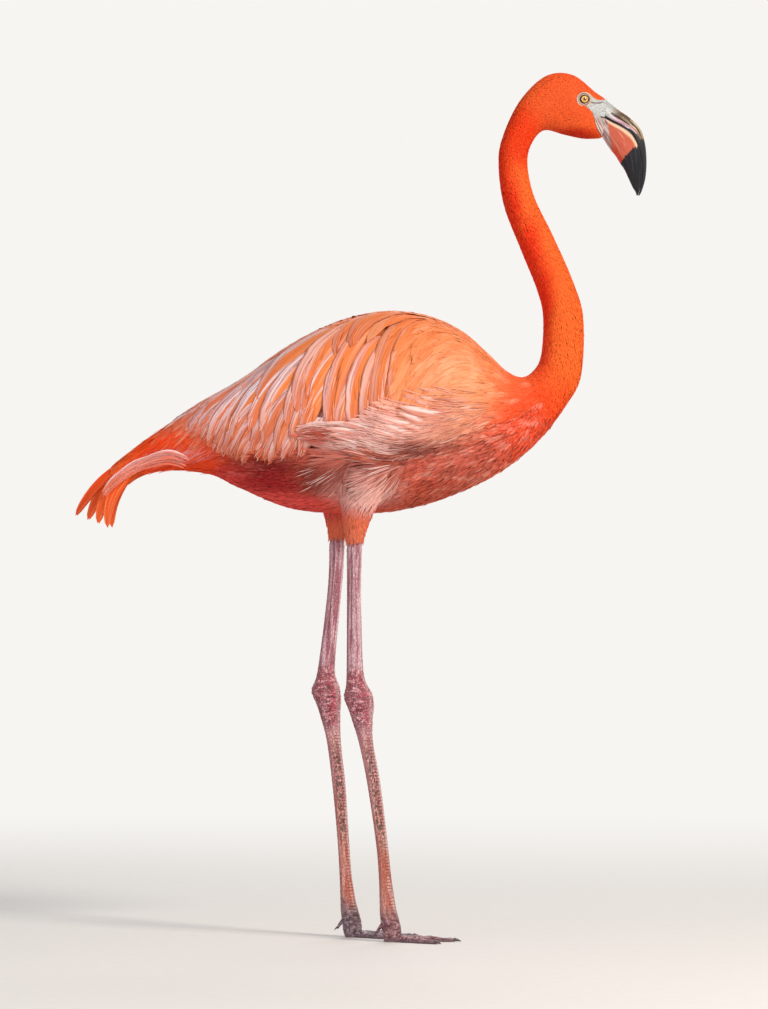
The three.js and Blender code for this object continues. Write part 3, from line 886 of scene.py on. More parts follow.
def leg_skin(side):
    """The leg from inside the flank to the sole. Rows of scales stand 0.3 mm proud of their seams,
    |sin| ** 0.4 of the height counted in scales, and the knuckles of the hock bulge a little."""
    leg = leg_on(side)
    t = join([np.linspace(0.4, CUFF, 50), np.linspace(CUFF, SOLE, 640)[1:]])
    t, a = grid(t, turns(40))
    z = leg(t, a)[..., 2]
    row = z / LEG_SCALE
    column = a * 9 / (2 * math.pi) + np.floor(row) * 0.5
    scale = (np.abs(np.sin(math.pi * row)) * np.abs(np.sin(math.pi * column))) ** 0.4 - 0.6
    bare = np.clip((t - CUFF) * 3, 0, 1)
    far = t - HOCK
    knuckle = np.exp(-((far / 0.55) ** 2)) * (0.9 * np.cos(2 * a) + 0.7 * np.cos(3 * a + t * 4))
    small = np.cos(5 * a + t * 11) * np.cos(t * 16)
    knuckle = knuckle + 0.5 * np.exp(-((far / 0.7) ** 2)) * small
    sole = np.clip((SOLE - t) * 1.5, 0, 1)
    out = bare * sole * (0.3 * scale + 1.2 * knuckle) - 3.0 * (1 - bare)
    return loft(leg(t, a, out))


print("scales end at", leg_on("right")(CUFF, 0)[2], "mm above the floor")

# %% Toe and web skin
TOES = {
    "inner": {"turn": 37, "length": 66, "half": 4.6},
    "middle": {"turn": 0, "length": 84, "half": 5.2},
    "outer": {"turn": -37, "length": 73, "half": 4.7},
}
FOOT_TURN = {"right": 0, "left": 3}
TOE_HEIGHT = (10.5, 5.2)
WEB = {"thick": 1.6, "reach": 0.9, "scoop": 0.66}


def on_foot(side, x, y, z, turn=0.0):
    """Layout place from one on the foot: x ahead of the ball's middle, y towards the other foot, both
    turned on the floor, and z up."""
    inward = -SIDES[side]
    angle = inward * math.radians(FOOT_TURN[side] + turn)
    ball = leg_on(side)(SOLE, math.pi / 2) * [1, 0, 1] + [0, SIDES[side] * FOOT_Y, 0]
    y = inward * y
    ahead = x * math.cos(angle) - y * math.sin(angle)
    aside = x * math.sin(angle) + y * math.cos(angle)
    return np.stack(np.broadcast_arrays(ahead, aside, z), -1) + ball * [1, 1, 0]


def toe_skin(side, turn, length, half):
    """Flattened ellipses along the toe that swell at its three joints and carry fine cross plates."""
    s, a = grid(np.linspace(0, 1, 90), turns(20))
    joint = 1 + 0.16 * s * np.cos(6 * math.pi * s)
    plates = 1 + 0.05 * np.abs(np.sin(math.pi * s * length / 3.2)) ** 0.5
    end = np.sqrt(np.clip((1.02 - s) / 0.1, 0, 1))
    width = half * joint * plates * end * lerp(1.15, 0.9, s)
    height = lerp(*TOE_HEIGHT, np.sqrt(s)) * joint * plates * end
    z = height * (0.45 + 0.6 * np.sin(a))
    return loft(on_foot(side, s * length, width * np.cos(a), np.maximum(z, 0.0), turn))


def web_skin(side, one, other):
    """A sheet between two toes: straight lines from the heel fan out to a scooped front edge, and its
    middle sags towards the floor."""
    s, w = grid(np.linspace(0.06, 1, 24), np.linspace(0, 1, 22))
    far = np.radians([one["turn"], other["turn"]])
    tips = np.array([one["length"], other["length"]]) * WEB["reach"]
    ends = [tip * np.array([math.cos(angle), math.sin(angle)]) for tip, angle in zip(tips, far)]
    pull = (ends[0] + ends[1]) * WEB["scoop"] / (2 * WEB["reach"])
    w = w[..., None]
    edge = (1 - w) ** 2 * ends[0] + 2 * w * (1 - w) * pull + w**2 * ends[1]
    flat = s[..., None] * edge
    crease = 0.35 * np.sin(w[..., 0] * 9 * math.pi) * s
    height = lerp(4.2, 2.3, s) - 1.4 * np.sin(math.pi * w[..., 0]) * s + crease * 0.6
    upper = on_foot(side, flat[..., 0], flat[..., 1], np.maximum(height, WEB["thick"]))
    lower = on_foot(side, flat[..., 0], flat[..., 1], np.maximum(height - WEB["thick"], 0.1))
    return sheet(upper, lower)


def spur(side, places, halves, turn, sides=16, rows=24):
    """A taper along a smooth curve through [away, Z] places, with round upright sections."""
    t, a = grid(np.linspace(0, len(places) - 1, rows), turns(sides))
    away, z = np.moveaxis(through(places, t), -1, 0)
    half = through(np.array(halves)[:, None], t)[..., 0]
    return loft(on_foot(side, away, half * np.cos(a), np.maximum(z + half * np.sin(a), 0.2), turn))


def foot_shells(side):
    inner, middle, outer = TOES.values()
    toes = [toe_skin(side, toe["turn"], toe["length"], toe["half"]) for toe in TOES.values()]
    hind = spur(side, [[5, 30], [13, 23], [20.5, 13.5]], [4.8, 4.4, 3.0], 180)
    return [*toes, web_skin(side, inner, middle), web_skin(side, middle, outer), hind]


print("toes are", [toe["length"] for toe in TOES.values()], "mm long")

# %% [markdown]
# ### Eyelids
#
# A flamingo's eye sits in a pale ring of two soft folds. Each ring is a turned profile round the
# eye's own axis, and it joins the skin with the rest.

# %% Lid rings
EYE_AXIS = {side: unit(np.array([0.16, sign, 0.05])) for side, sign in SIDES.items()}
LID_PROFILE = [  # distance from the eye's axis, and height along it from the eye's middle
    [5.7, 3.2], [5.8, 4.8], [6.3, 6.4], [7.0, 6.8], [7.7, 6.1],
    [8.4, 6.9], [9.3, 6.5], [10.1, 5.0], [10.7, 1.5],
]


def lid_ring(side):
    """The profile turned round the eye's axis, slightly wider than tall, closed by an inner wall."""
    profile = through(LID_PROFILE, np.linspace(0, len(LID_PROFILE) - 1, 40))
    closed = join([profile, [[9.0, -0.5], [5.6, -0.5]]])
    turn = turns(72)[:, None, None]
    axis = EYE_AXIS[side]
    ahead = unit(np.cross(axis, [0, 0, 1]) * SIDES[side])
    up = unit(np.cross(ahead, axis)) * SIDES[side]
    up = up * np.sign(up[2])
    wrinkle = 1 + 0.012 * np.cos(turn * 13) + 0.05 * np.cos(2 * turn)
    far, high = closed[None, :, :1] * wrinkle, closed[None, :, 1:]
    rings = eye_centre(side) + far * (np.cos(turn) * ahead + np.sin(turn) * up) + high * axis
    count, around = rings.shape[:2]
    at = np.arange(count)[:, None] * around + np.arange(around)
    right, below = np.roll(at, -1, 1), np.roll(at, -1, 0)
    corner = np.roll(right, -1, 0)
    return outward(rings.reshape(-1, 3), [np.stack([at, right, corner, below], -1).reshape(-1, 4)])


print("each pair of lids has", len(lid_ring("right")[0]), "points")

# %% Join the shells into one skin
LEG_FEATHERS_END = 541  # height above the floor, mm


def shell(name, shape, kind):
    points, faces = shape
    kinds = kind if isinstance(kind, np.ndarray) else np.full(sum(map(len, faces)), kind)
    return make_object(name, points, faces, skin_finishes, kinds)


def unite(whole, others):
    """Adds closed shells to a whole one after the other and removes them."""
    for other in others:
        union = whole.modifiers.new("union", "BOOLEAN")
        union.operation = "UNION"
        union.solver = "MANIFOLD"
        union.object = other
    graph = bpy.context.evaluated_depsgraph_get()
    joined = bpy.data.meshes.new_from_object(whole.evaluated_get(graph))
    whole.modifiers.clear()
    whole.data = joined
    for other in others:
        bpy.data.objects.remove(other)


def make_skin():
    points, faces, kinds = body_skin()
    skin = shell("skin", (points, faces), kinds)
    others = [shell(f"lid_{side}", lid_ring(side), FACE) for side in SIDES]
    for side in SIDES:
        points, faces = leg_skin(side)
        height = join([points[f][..., 2].mean(1) for f in faces])
        kind = np.where(height > LEG_FEATHERS_END, UNDER, LEG[side])
        others.append(shell(f"leg_{side}", (points, faces), kind))
        others += [shell(f"toe_{side}", each, LEG[side]) for each in foot_shells(side)]
    unite(skin, others)
    skin.name = "skin"
    skin.data.name = "skin"
    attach(skin, "root")
    leg_solids = ("thigh", "shank", "hock", "tarsus", "foot")
    paired = [f"{name}_{side}" for name in leg_solids for side in SIDES]
    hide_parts("trunk", "neck_lower", "neck_middle", "neck_upper", "head", *paired)
    return skin


skin = make_skin()
print("skin:", len(skin.data.polygons), "faces")

# %% [markdown]
# ## Feathers
#
# Each feather is a closed blade. Its quill is walked over the surface in short steps: at every
# step the wanted direction is laid flat on the surface and turned into a change of the surface's
# own two numbers. All feathers of a tract take each step together, so the loop is only over steps.

# %% Walk quills over a surface


def tangents(surface, p, q, out=0.0):
    """The place, its two slopes along p and q by small steps, and the outward normal."""
    e = 1e-3
    along = (surface(p + e, q, out) - surface(p - e, q, out)) / (2 * e)
    round_ = (surface(p, q + e, out) - surface(p, q - e, out)) / (2 * e)
    return surface(p, q, out), along, round_, unit(np.cross(along, round_))


def walk(surface, p, q, heading, length, rise, stations):
    """Quills from the roots (p, q). heading(place, along, share) gives the wanted direction and
    rise(share) the height over the surface at a share of the length."""
    low, high = 0.02, BODY_END - 0.02
    spine, normals, path = [], [], []
    shares = np.linspace(0, 1, stations)
    for share in shares:
        place, along, round_, normal = tangents(surface, p, q)
        spine.append(surface(p, q, rise(share)))
        normals.append(normal)
        path.append((p, q))
        wanted = heading(place, along, share)
        wanted = unit(wanted - normal * (wanted * normal).sum(-1, keepdims=True))
        ee, ff, gg = (along**2).sum(-1), (along * round_).sum(-1), (round_**2).sum(-1)
        we, wg = (wanted * along).sum(-1), (wanted * round_).sum(-1)
        flat = np.maximum(ee * gg - ff**2, 1e-6)
        stride = length / (stations - 1)
        p = np.clip(p + stride * (we * gg - wg * ff) / flat, low, high)
        q = q + stride * (wg * ee - we * ff) / flat
    return np.stack(spine, 1), np.stack(normals, 1), path


def tailward(fall, sway):
    """Heading along the body towards the tail with a share of straight down, turned a little
    sideways by each feather's own sway."""

    def heading(place, along, share):
        back = -unit(along)
        wanted = back + fall * np.array([0, 0, -1.0])
        return wanted + sway[:, None] * np.cross(back, unit(place - place.mean(0)))

    return heading


def side_view(angle):
    """The direction an angle below straight back, seen from the side."""
    return np.stack([-np.cos(angle), 0 * angle, -np.sin(angle)], -1)


def compass(start, end):
    """Heading in the side view, in degrees below straight back, from the root's to the tip's."""

    def heading(place, along, share):
        return side_view(np.radians(lerp(start, end, share)))

    return heading


WHOLE_RING = (-math.pi, math.pi)
JITTER = 0.3  # how far a root strays from its place in the rows, in spacings


def stray(count):
    return rng.uniform(-JITTER, JITTER, count)


def roots_in_rows(surface, low, high, apart, across, around=WHOLE_RING):
    """Roots in staggered rows: rows lie apart(p) mm from each other, roots across(p) mm."""
    fine = np.linspace(low, high, 500)
    line = (surface(fine, 0.0) + surface(fine, math.pi)) / 2
    steps = np.linalg.norm(np.diff(line, axis=0), axis=1)
    gone = join([[0], np.cumsum(steps / apart(fine[1:]))])
    rows = np.interp(np.arange(0.5, gone[-1]), gone, fine)
    angles = np.linspace(*around, 181)
    p, q = [], []
    for number, row in enumerate(rows):
        ring = surface(np.full(len(angles), row), angles)
        arc = join([[0], np.cumsum(np.linalg.norm(np.diff(ring, axis=0), axis=1))])
        count = max(int(arc[-1] / across(row)), 1)
        spots = (np.arange(count) + 0.5 * (number % 2) + stray(count)) / count
        q.append(np.interp(np.clip(spots, 0, 1) * arc[-1], arc, angles))
        step = (high - low) / len(rows)
        p.append(row + stray(count) * step)
    return join(p), join(q)


print("quills can be walked")

# %% [markdown]
# ## Blades
#
# A blade is a row of flat, slightly arched sections along its quill, closed at the root and the
# tip. Its rim is a crease, so light falls on its face as on a thin vane and not as on a grain.

# %% Make blades


def blades(spine, normals, half, thick, arch=0.25, sides=4, roll=0.0):
    """(points, faces, across, along, rim) of closed blades along spines (N, K, 3) with half widths
    (N, K): section point = quill + across * half * cos + up * (thick * sin - arch * half * cos^2)."""
    count, stations = spine.shape[:2]
    ahead = unit(np.gradient(spine, axis=1))
    side = unit(np.cross(normals, ahead))
    up = np.cross(ahead, side)
    turn = np.broadcast_to(np.asarray(roll, float).reshape(-1, 1, 1), (count, stations, 1))
    side, up = side * np.cos(turn) + up * np.sin(turn), up * np.cos(turn) - side * np.sin(turn)
    angle = 2 * math.pi * np.arange(sides) / sides
    cos, sin = np.cos(angle)[:, None], np.sin(angle)[:, None]
    width = half[:, 1:-1, None, None]
    rings = spine[:, 1:-1, None] + side[:, 1:-1, None] * width * cos
    rings = rings + up[:, 1:-1, None] * (thick * sin - arch * width * cos**2)
    points = join([spine[:, :1], rings.reshape(count, -1, 3), spine[:, -1:]], 1)
    inner = stations - 2
    quads, m, n = tube_faces(inner, sides, start=1)
    last = 1 + (inner - 1) * sides
    first_fan = np.stack([0 * m, 1 + n, 1 + m], -1)
    last_fan = np.stack([last + m, last + n, 0 * m + last + sides], -1)
    fans = join([first_fan, last_fan])
    total = points.shape[1]
    start = (np.arange(count) * total)[:, None, None]
    faces = [(start + quads).reshape(-1, 4), (start + fans).reshape(-1, 3)]
    shares = np.linspace(0, 1, stations)
    along = join([[0], np.repeat(shares[1:-1], sides), [1]])
    across = join([[0], np.tile(np.cos(angle), inner), [0]])
    rim = np.abs(across) > 0.99
    rim[0] = rim[-1] = True
    return points, faces, across, along, rim


print("blades can be made")

# %% Gather blades into a coat
PATCH = 0.003  # size of a feather's own patch of the OFBake map


class Coat:
    """A piece made of many blades, gathered tract by tract."""

    def __init__(self, name):
        self.name = name
        self.shapes, self.vane, self.root, self.uv, self.rim = [], [], [], [], []

    def add(self, spine, normals, half, thick, map_place, mirror=1, **form):
        """mirror is the side's sign, so that `rear` counts towards the tail on both sides."""
        points, faces, across, along, rim = blades(spine, normals, half, thick, **form)
        across = across * mirror
        count, total = points.shape[:2]
        seed = np.broadcast_to(rng.random((count, 1)), (count, total))
        spread = np.broadcast_to(np.stack([along, across], -1), (count, total, 2))
        self.shapes.append((points.reshape(-1, 3), faces))
        self.vane.append(join([spread, seed[..., None]], -1).reshape(-1, 3))
        self.root.append(np.repeat(metres(spine[:, 0]), total, 0))
        own = np.stack(map_place, -1)
        self.uv.append((own[:, None], spread[..., ::-1]))
        self.rim.append(np.tile(rim, count))

    def finish(self, finish, slot, replaces=()):
        """Makes the object. Each feather's patch lies at its root's place on the opened-out surface."""
        places = join([own[:, 0] for own, _ in self.uv])
        low, span = places.min(0), np.ptp(places, axis=0)
        uv = [0.03 + 0.94 * (own - low) / span + PATCH * (spread * [0.5, 1] - [0, 0.5])
              for own, spread in self.uv]
        points, faces = gather(self.shapes)
        made = make_object(
            self.name, points, faces, [finish],
            vertex_data={"vane": join(self.vane), "root": join(self.root)},
            uv=join([each.reshape(-1, 2) for each in uv]),
            sharp=join(self.rim),
        )
        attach(made, "root")
        if replaces:
            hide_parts(*replaces)
        triangles = sum(len(f) * (f.shape[1] - 2) for f in faces)
        print(self.name, len(places), "feathers,", triangles, "triangles")


print("coats can be gathered")


# %% [markdown]
# ## Feather finishes
#
# A feather takes the marking at its root. Its own random tone, a paler rim and tip, and fine
# streaks along the barbs make it stand apart from its neighbours. The long plumes also carry a
# lilac band along their rear edge.

# %% What all feathers share
FEATHER = {"Roughness": 0.62, "Specular IOR Level": 0.12}


def barb_noise(rear, along, seed, fine):
    """Streaks that run with the barbs: noise stretched along the feather, another for each."""
    lines = combine(rear * fine + seed * 37.0, along * 1.3 + seed * 11.0, seed * 5.0)
    return noise(lines, 1.6, 3.0)


def start_feather(name):
    """A finish, the way along the blade and towards its rear edge, its own number, and its root."""
    finish = Finish(name, FEATHER)
    return finish, *split(finish.attribute("vane")), layout(finish.attribute("root"))


def end_feather(finish, base, seed, tone, barbs, strength, distance):
    """Brightness from 1 - tone to 1 + tone, another for each feather, and the barbs as relief."""
    gain = seed * (2 * tone) + (1 - tone)
    toned = mix(1.0, base, combine(gain, gain, gain), blend="MULTIPLY")
    finish.paint("Base Color", toned)
    finish.bump(barbs, strength, distance)
    return finish


print("barbs and tones ready")

# %% Short feathers


def feather_finish(name, pale, dark, rim, streak, tone, root_shade=0.0, fine=3.0, clump=0.0):
    """rim, streak and clump are shares of the pale and the dark colour laid over the marking, and
    root_shade a share of dark red at the root, painted shade where the feathers above overlap it; a
    clump is some 15 mm of neighbours that share a paler or darker tone."""
    finish, along, rear, seed, place = start_feather(name)
    base = markings(place)
    if clump:
        patchy = noise(vector("MULTIPLY", place, (0.55, 1, 2.0)), 0.06, 2.0)
        share = ease(split(place)[2], 596, 626) * clump
        base = mix(ease(patchy, 0.52, 0.64) * share, base, pale)
        base = mix(ease(patchy, 0.47, 0.36) * share, base, dark)
    barbs = barb_noise(rear, along, seed, fine)
    edge = ease(abs(rear) * 0.6 + along**2 * 0.6 + barbs * 0.35, 0.8, 1.2)
    base = mix(edge * rim, base, pale)
    base = mix(ease(barbs, 0.52, 0.72) * streak, base, pale)
    base = mix(ease(barbs, 0.45, 0.3) * streak, base, dark)
    # painted shade at the root, where the feathers above overlap it
    base = mix(ease(along, 0.4, 0.0) * root_shade, base, "a82a12")
    return end_feather(finish, base, seed, tone, barbs, 0.3, 0.0006)


print("short feathers defined")

# %% Long plumes


def plume_finish():
    """Orange plumes with a lilac-white rear band that is widest towards the tail and the tips, a
    salmon front edge and thin dark lines of painted shadow where one plume dips under the next."""
    finish, along, rear, seed, place = start_feather("scapular plumes")
    barbs = barb_noise(rear, along, seed, 4.5)
    wide = barb_noise(rear * 0.4, along, seed, 2.0)
    aft = ease(split(place)[0] - along * 90, 60, -110)
    other = finish.node("Math", [seed * 13.7], operation="FRACT")
    base = mix(other * 0.3, markings(place), "f57a34")
    base = mix(ease(-1 * rear, 0.1, 0.9) * 0.4, base, "f0906c")
    tip = ease(along, 0.5, 0.95)
    base = mix(tip * 0.75, base, "dc7454")
    base = mix(ease(barbs, 0.55, 0.7) * 0.3, base, "fad2b8")
    base = mix(ease(barbs, 0.44, 0.32) * 0.4, base, "d0562e")
    pale = ease(rear + (wide - 0.5) * 0.7 + aft * 0.1, 0.2, 0.5)
    x, _, z = split(place)
    below = ease(z - x * 0.25, 790, 740)
    pale = pale * (aft * 0.75 + 0.25) * (other * 0.35 + 0.65) * (1 - tip * 0.6) * (1 - below * 0.55)
    lilac = mix(ease(barbs, 0.4, 0.56), "c4a0aa", "f4e4e6")
    base = mix(pale, base, lilac)
    hair = ease(abs(barbs - 0.44), 0.02, 0.004) * (pale * 0.6 + 0.15)
    # painted shadow: a thin dark line along the plume's edge, where it dips under its neighbour
    line = ease(abs(rear) + (barbs - 0.5) * 0.4, 0.86, 0.98) * ease(along, 0.1, 0.5) * 0.85
    base = mix(most(hair, line), base, "743834")
    rim = ease(abs(rear) * 0.5 + along**4 * 0.6, 0.84, 0.94) * ease(along, 0.8, 0.95)
    base = mix(rim * 0.6, base, "f6cdb6")
    return end_feather(finish, base, seed, 0.08, barbs, 0.35, 0.0008)


print("long plumes defined")

# %% Soft coverts and loose barbs


def soft_finish(name, body, light):
    """Soft feathers with a light upper half, partly their own pale colour and partly painted highlight,
    a body colour below it, and a darker tip and lower edge of painted shade.
    """
    finish, along, rear, seed, place = start_feather(name)
    barbs = barb_noise(rear, along, seed, 2.2)
    base = mix(0.65, markings(place), body)
    # light upper half: partly the feather's pale colour, partly painted highlight
    glow = ease(rear + (barbs - 0.5) * 1.4, -0.35, 0.45) * ease(along, 0.0, 0.25)
    base = mix(glow * ease(along, 1.1, 0.65) * 0.9, base, light)
    base = mix(ease(barbs, 0.46, 0.34) * 0.4, base, "c2705e")
    # painted shade along the tip and lower edge
    base = mix(ease(-1 * rear + along * 0.15, 0.8, 1.05) * 0.45, base, "a8584a")
    return end_feather(finish, base, seed, 0.05, barbs, 0.35, 0.0008)


def strand_finish(name, pale, dark, pale_share, dark_share):
    """Loose barbs: most take the marking, a share of them are pale and a few dark."""
    finish, along, _, seed, place = start_feather(name)
    base = markings(place)
    bright = ease(seed, 1.0 - pale_share, 1.0) * (along * 0.35 + 0.5)
    base = mix(bright, base, pale)
    base = mix(ease(seed, dark_share, dark_share * 0.6) * 0.7, base, dark)
    finish.paint("Base Color", base)
    return finish


print("soft coverts and loose barbs defined")

# %% Lay feathers on a surface


def contour(coat, surface, p, q, heading, length, half, depth, stations, thick,
            lift, top=0.0, roll=0.08, peak=0.85, **form):
    """Adds body feathers: the root is sunk by the depth and the blade rises to the surface,
    height = top - depth (1 - share) ** 1.5 + lift share^2. A smaller peak draws the tip to a point."""
    count = len(p)
    length = length * rng.uniform(0.8, 1.15, count)
    tips = lift * np.abs(rng.normal(0, 1, count))

    def rise(share):
        return top - depth * (1 - share) ** 1.5 + tips * share**2

    spine, normals, _ = walk(surface, p, q, heading, length, rise, stations)
    shares = np.linspace(0, 1, stations)
    profile = np.sin(math.pi * shares**peak) ** 0.55
    width = half * rng.uniform(0.85, 1.15, (count, 1)) * profile
    coat.add(spine, normals, width, thick, (p, q), roll=rng.normal(0, roll, count), **form)


print("feather helpers ready")

# %% [markdown]
# ## Head and neck
#
# The head wears the smallest feathers on the bird, a few millimetres long, all lying back from the
# bill. They grow a little longer down the neck.

# %% Head and neck feathers
neck_finish = feather_finish("neck feathers", "fc9a54", "bc2808", rim=0.14, streak=0.45, tone=0.1)


def head_coat():
    coat = Coat("feathers_head")
    size = table([20, 22, 25], [1.1, 1.0, 0.8])
    p, q = roots_in_rows(body, 20.3, 24.95, lambda u: 1.9 * size(u), lambda u: 1.55 * size(u))
    bare = on_face(body(p, q))
    p, q = p[~bare], q[~bare]
    contour(coat, body, p, q, tailward(0.0, rng.normal(0, 0.14, len(p))),
            length=5.6 * size(p), half=1.0, depth=1.3, stations=4, thick=0.18, lift=0.08)
    coat.finish(neck_finish, "plumage")


def neck_coat(name, low, high):
    coat = Coat(name)
    size = table([12, 14, 17, 20.5], [1.3, 1.1, 1.0, 0.85])
    p, q = roots_in_rows(body, low, high, lambda u: 3.0 * size(u), lambda u: 2.1 * size(u))
    contour(coat, body, p, q, tailward(0.0, rng.normal(0, 0.14, len(p))),
            length=11.5 * size(p), half=1.35 * size(p)[:, None], depth=2.2,
            stations=5, thick=0.22, lift=0.15, roll=0.07)
    coat.finish(neck_finish, "plumage")


head_coat()
neck_coat("feathers_neck_upper", 16.0, 20.4)
neck_coat("feathers_neck_lower", 12.3, 16.1)

# %% [markdown]
# ## Trunk
#
# The breast and belly wear narrow soft feathers in rows. Over the mantle and the shoulders they
# grow longer and broader towards the wing and turn downwards, until they cover the roots of the
# long plumes. Under the folded wing only the rim is dressed, because the plumes cover the rest.

# %% Trunk feathers
breast_finish = feather_finish(
    "breast feathers", "f0a896", "802a1a", rim=0.4, streak=0.6, tone=0.16, root_shade=0.4, clump=0.45)
belly_finish = feather_finish(
    "belly feathers", "ec7a6c", "a01c24", rim=0.25, streak=0.35, tone=0.12, root_shade=0.15, clump=0.25)
mantle_finish = feather_finish(
    "mantle feathers", "fbb995", "dc6028", rim=0.12, streak=0.35, tone=0.06, fine=2.2, clump=0.35)
UPPER = math.radians(92)  # half the angle round the section that the mantle covers
LOWER_EDGES = (UPPER - 0.1, 2 * math.pi - UPPER + 0.1)  # what the breast covers, a little under it
# Ribs, angle and part of the wing's height within which the plumes hide the trunk.
HIDDEN = {"u": (3.4, 7.4), "angle": math.radians(125), "v": (0.12, 0.9)}
# The mantle's layers: spacing of rows, spacing in a row, length, half width, height over the first.
MANTLE_LAYERS = [(11, 7, 46, 5.2, 0), (11, 5, 40, 2.6, 0.4), (9, 3.6, 34, 0.8, 0.3)]
MANTLE_START, MANTLE_END = 7.1, 12.5


def between(values, limits):
    return (values > limits[0]) & (values < limits[1])


def trunk_coat(name, finish, low, high, around, fall, lift):
    coat = Coat(name)
    size = table([0.5, 3, 8, 10, 12.6], [0.85, 1.0, 1.0, 0.9, 0.55])
    p, q = roots_in_rows(trunk, low, high, lambda u: 6.4 * size(u), lambda u: 3.1 * size(u), around)
    _, v = wing_place(p, q)
    hidden = between(v, HIDDEN["v"]) & between(p, HIDDEN["u"]) & (np.abs(wrapped(q)) < HIDDEN["angle"])
    p, q = p[~hidden], q[~hidden]
    contour(coat, trunk, p, q, tailward(fall, rng.normal(0, 0.12, len(p))),
            length=25 * size(p), half=2.2 * size(p)[:, None], depth=2.6 * size(p),
            stations=5, thick=0.3, lift=lift)
    coat.finish(finish, "plumage")


def mantle_coat():
    """Three layers: broad feathers, narrower ones over them and loose barbs on top."""
    coat = Coat("feathers_mantle")
    size = table([7.7, 8.6, 9.5, 11, 12.5], [1.5, 1.35, 1.0, 0.65, 0.38])
    fall = table([7.2, 7.7, 8.6, 9.5, 12.5], [2.4, 1.7, 1.1, 0.5, 0.1])
    high = table([7.2, 8.6, 10, 12.5], [2.6, 2.0, 0.6, 0.0])
    for apart, across, length, half, over in MANTLE_LAYERS:
        p, q = roots_in_rows(trunk, MANTLE_START, MANTLE_END,
                             lambda u: apart * size(u), lambda u: across * size(u), (-UPPER, UPPER))
        kept = p > MANTLE_START + 1.5 * rng.random(len(p))  # the rear edge thins out
        p, q = p[kept], q[kept]
        turn = tailward(fall(p)[:, None], rng.normal(0, 0.09, len(p)))
        contour(coat, trunk, p, q, turn,
                length=length * size(p), half=half * size(p)[:, None], depth=2.2 * size(p),
                stations=7, thick=0.3, lift=0.3, top=high(p) + over, arch=0.12)
    coat.finish(mantle_finish, "plumage")


trunk_coat("feathers_breast", breast_finish, 7.3, 12.5, LOWER_EDGES, fall=0.2, lift=0.9)
trunk_coat("feathers_belly", belly_finish, 0.4, 7.4, WHOLE_RING, fall=0.1, lift=0.6)
mantle_coat()

# %% [markdown]
# ## Long scapular plumes
#
# From the back long plumes sweep over the folded wing. Each starts nearly level and bends down, and
# the last ones end in a loose fringe below the wing. A first walk finds where each would cross the
# wing's lower edge, and the plume is cut to end there. Loose barbs leave each plume on its way.

# %% Scapular plumes
# Layers from the lowest up: degrees from the back, first and last rib, length, spacing, half width
# and how much flatter they lie than the lowest layer, in degrees.
PLUME_LAYERS = [
    [88, 3.9, 7.6, 75, 11, 8.5, 0],
    [64, 3.6, 8.0, 115, 15, 11, 0],
    [40, 3.3, 8.1, 165, 18, 13.5, 0],
    [19, 3.2, 8.1, 215, 22, 15.5, 3],
    [7, 3.4, 8.15, 170, 20, 12.5, 11],
    [2.5, 3.6, 8.1, 105, 14, 7, 18],
]
FALL_AT_ROOT = table([-230, -100, 0, 60, 130], [34, 42, 50, 58, 66])
FALL_AT_TIP = table([-230, -100, 0, 60, 130], [50, 72, 88, 96, 102])
WING_END = -212  # X at which the plumes end behind
COVERT_START = -66  # X from which the coverts cover the wing's lower edge
RIB_GAP = 66  # mm between two ribs along the back
LAYER_GAP = 0.45  # mm from one layer of plumes up to the next
COVERT_EDGE = table([-80, -40, 12, 51, 91, 130], [690, 699, 697, 716, 730, 736])
PLUME_STATIONS = 15
BARB_STATIONS = 7
BARBS_EACH = 5  # loose barbs on each plume


def plume_coat(side):
    coat = Coat(f"scapulars_{side}")
    barbs = Coat(f"scapular_barbs_{side}")
    sign = SIDES[side]
    for layer, (degrees, low, high, reach, apart, half, flatter) in enumerate(PLUME_LAYERS):
        count = int((high - low) * RIB_GAP / apart)
        p = np.linspace(low, high, count) + rng.uniform(-0.05, 0.05, count)
        q = sign * np.radians(degrees + rng.uniform(-2.5, 2.5, count) * min(degrees / 20, 1))
        x = trunk(p, q)[:, 0]
        start = FALL_AT_ROOT(x) - flatter + rng.normal(0, 2, count)
        end = FALL_AT_TIP(x) - flatter + rng.normal(0, 3, count)
        length = reach * rng.uniform(0.8, 1.12, count)
        _, _, path = walk(trunk, p, q, compass(start, end), length, lambda share: 0.0, 30)
        path_u, path_a = np.moveaxis(np.array(path), 1, 0)
        _, v = wing_place(path_u, path_a)
        x, _, z = np.moveaxis(trunk(path_u, path_a), -1, 0)
        above = v < rng.uniform(0.96, 1.1, count)
        ahead = x > WING_END - rng.uniform(-6, 22, count)
        under = (x > COVERT_START) & (z < COVERT_EDGE(x) - 20)
        length = length * np.clip((above & ahead & ~under).mean(0), 0.35, 1)
        tips = rng.uniform(0, 0.8, count)

        def rise(share):
            return LAYER_GAP * layer * min(3 * share, 1) - 3 * (1 - share) ** 3 + tips * share

        spine, normals, path = walk(trunk, p, q, compass(start, end), length, rise, PLUME_STATIONS)
        shares = np.linspace(0, 1, PLUME_STATIONS)
        profile = shares**0.4 * (1 - shares) ** 0.5 / 0.53
        ragged = 1 + 0.08 * rng.normal(0, 1, (count, PLUME_STATIONS)) * shares
        width = half * rng.uniform(0.8, 1.15, (count, 1)) * profile * ragged
        coat.add(spine, normals, width, thick=0.45, map_place=(p, q), arch=0.16, sides=6, mirror=sign,
                 roll=sign * 0.11 + rng.normal(0, 0.05, count))
        loose_barbs(barbs, path, start, end, length, LAYER_GAP * layer + 0.9, sign)
    coat.finish(scapular_finish, "wing_feathers", [f"wing_{side}"])
    barbs.finish(barb_finish, "wing_feathers")


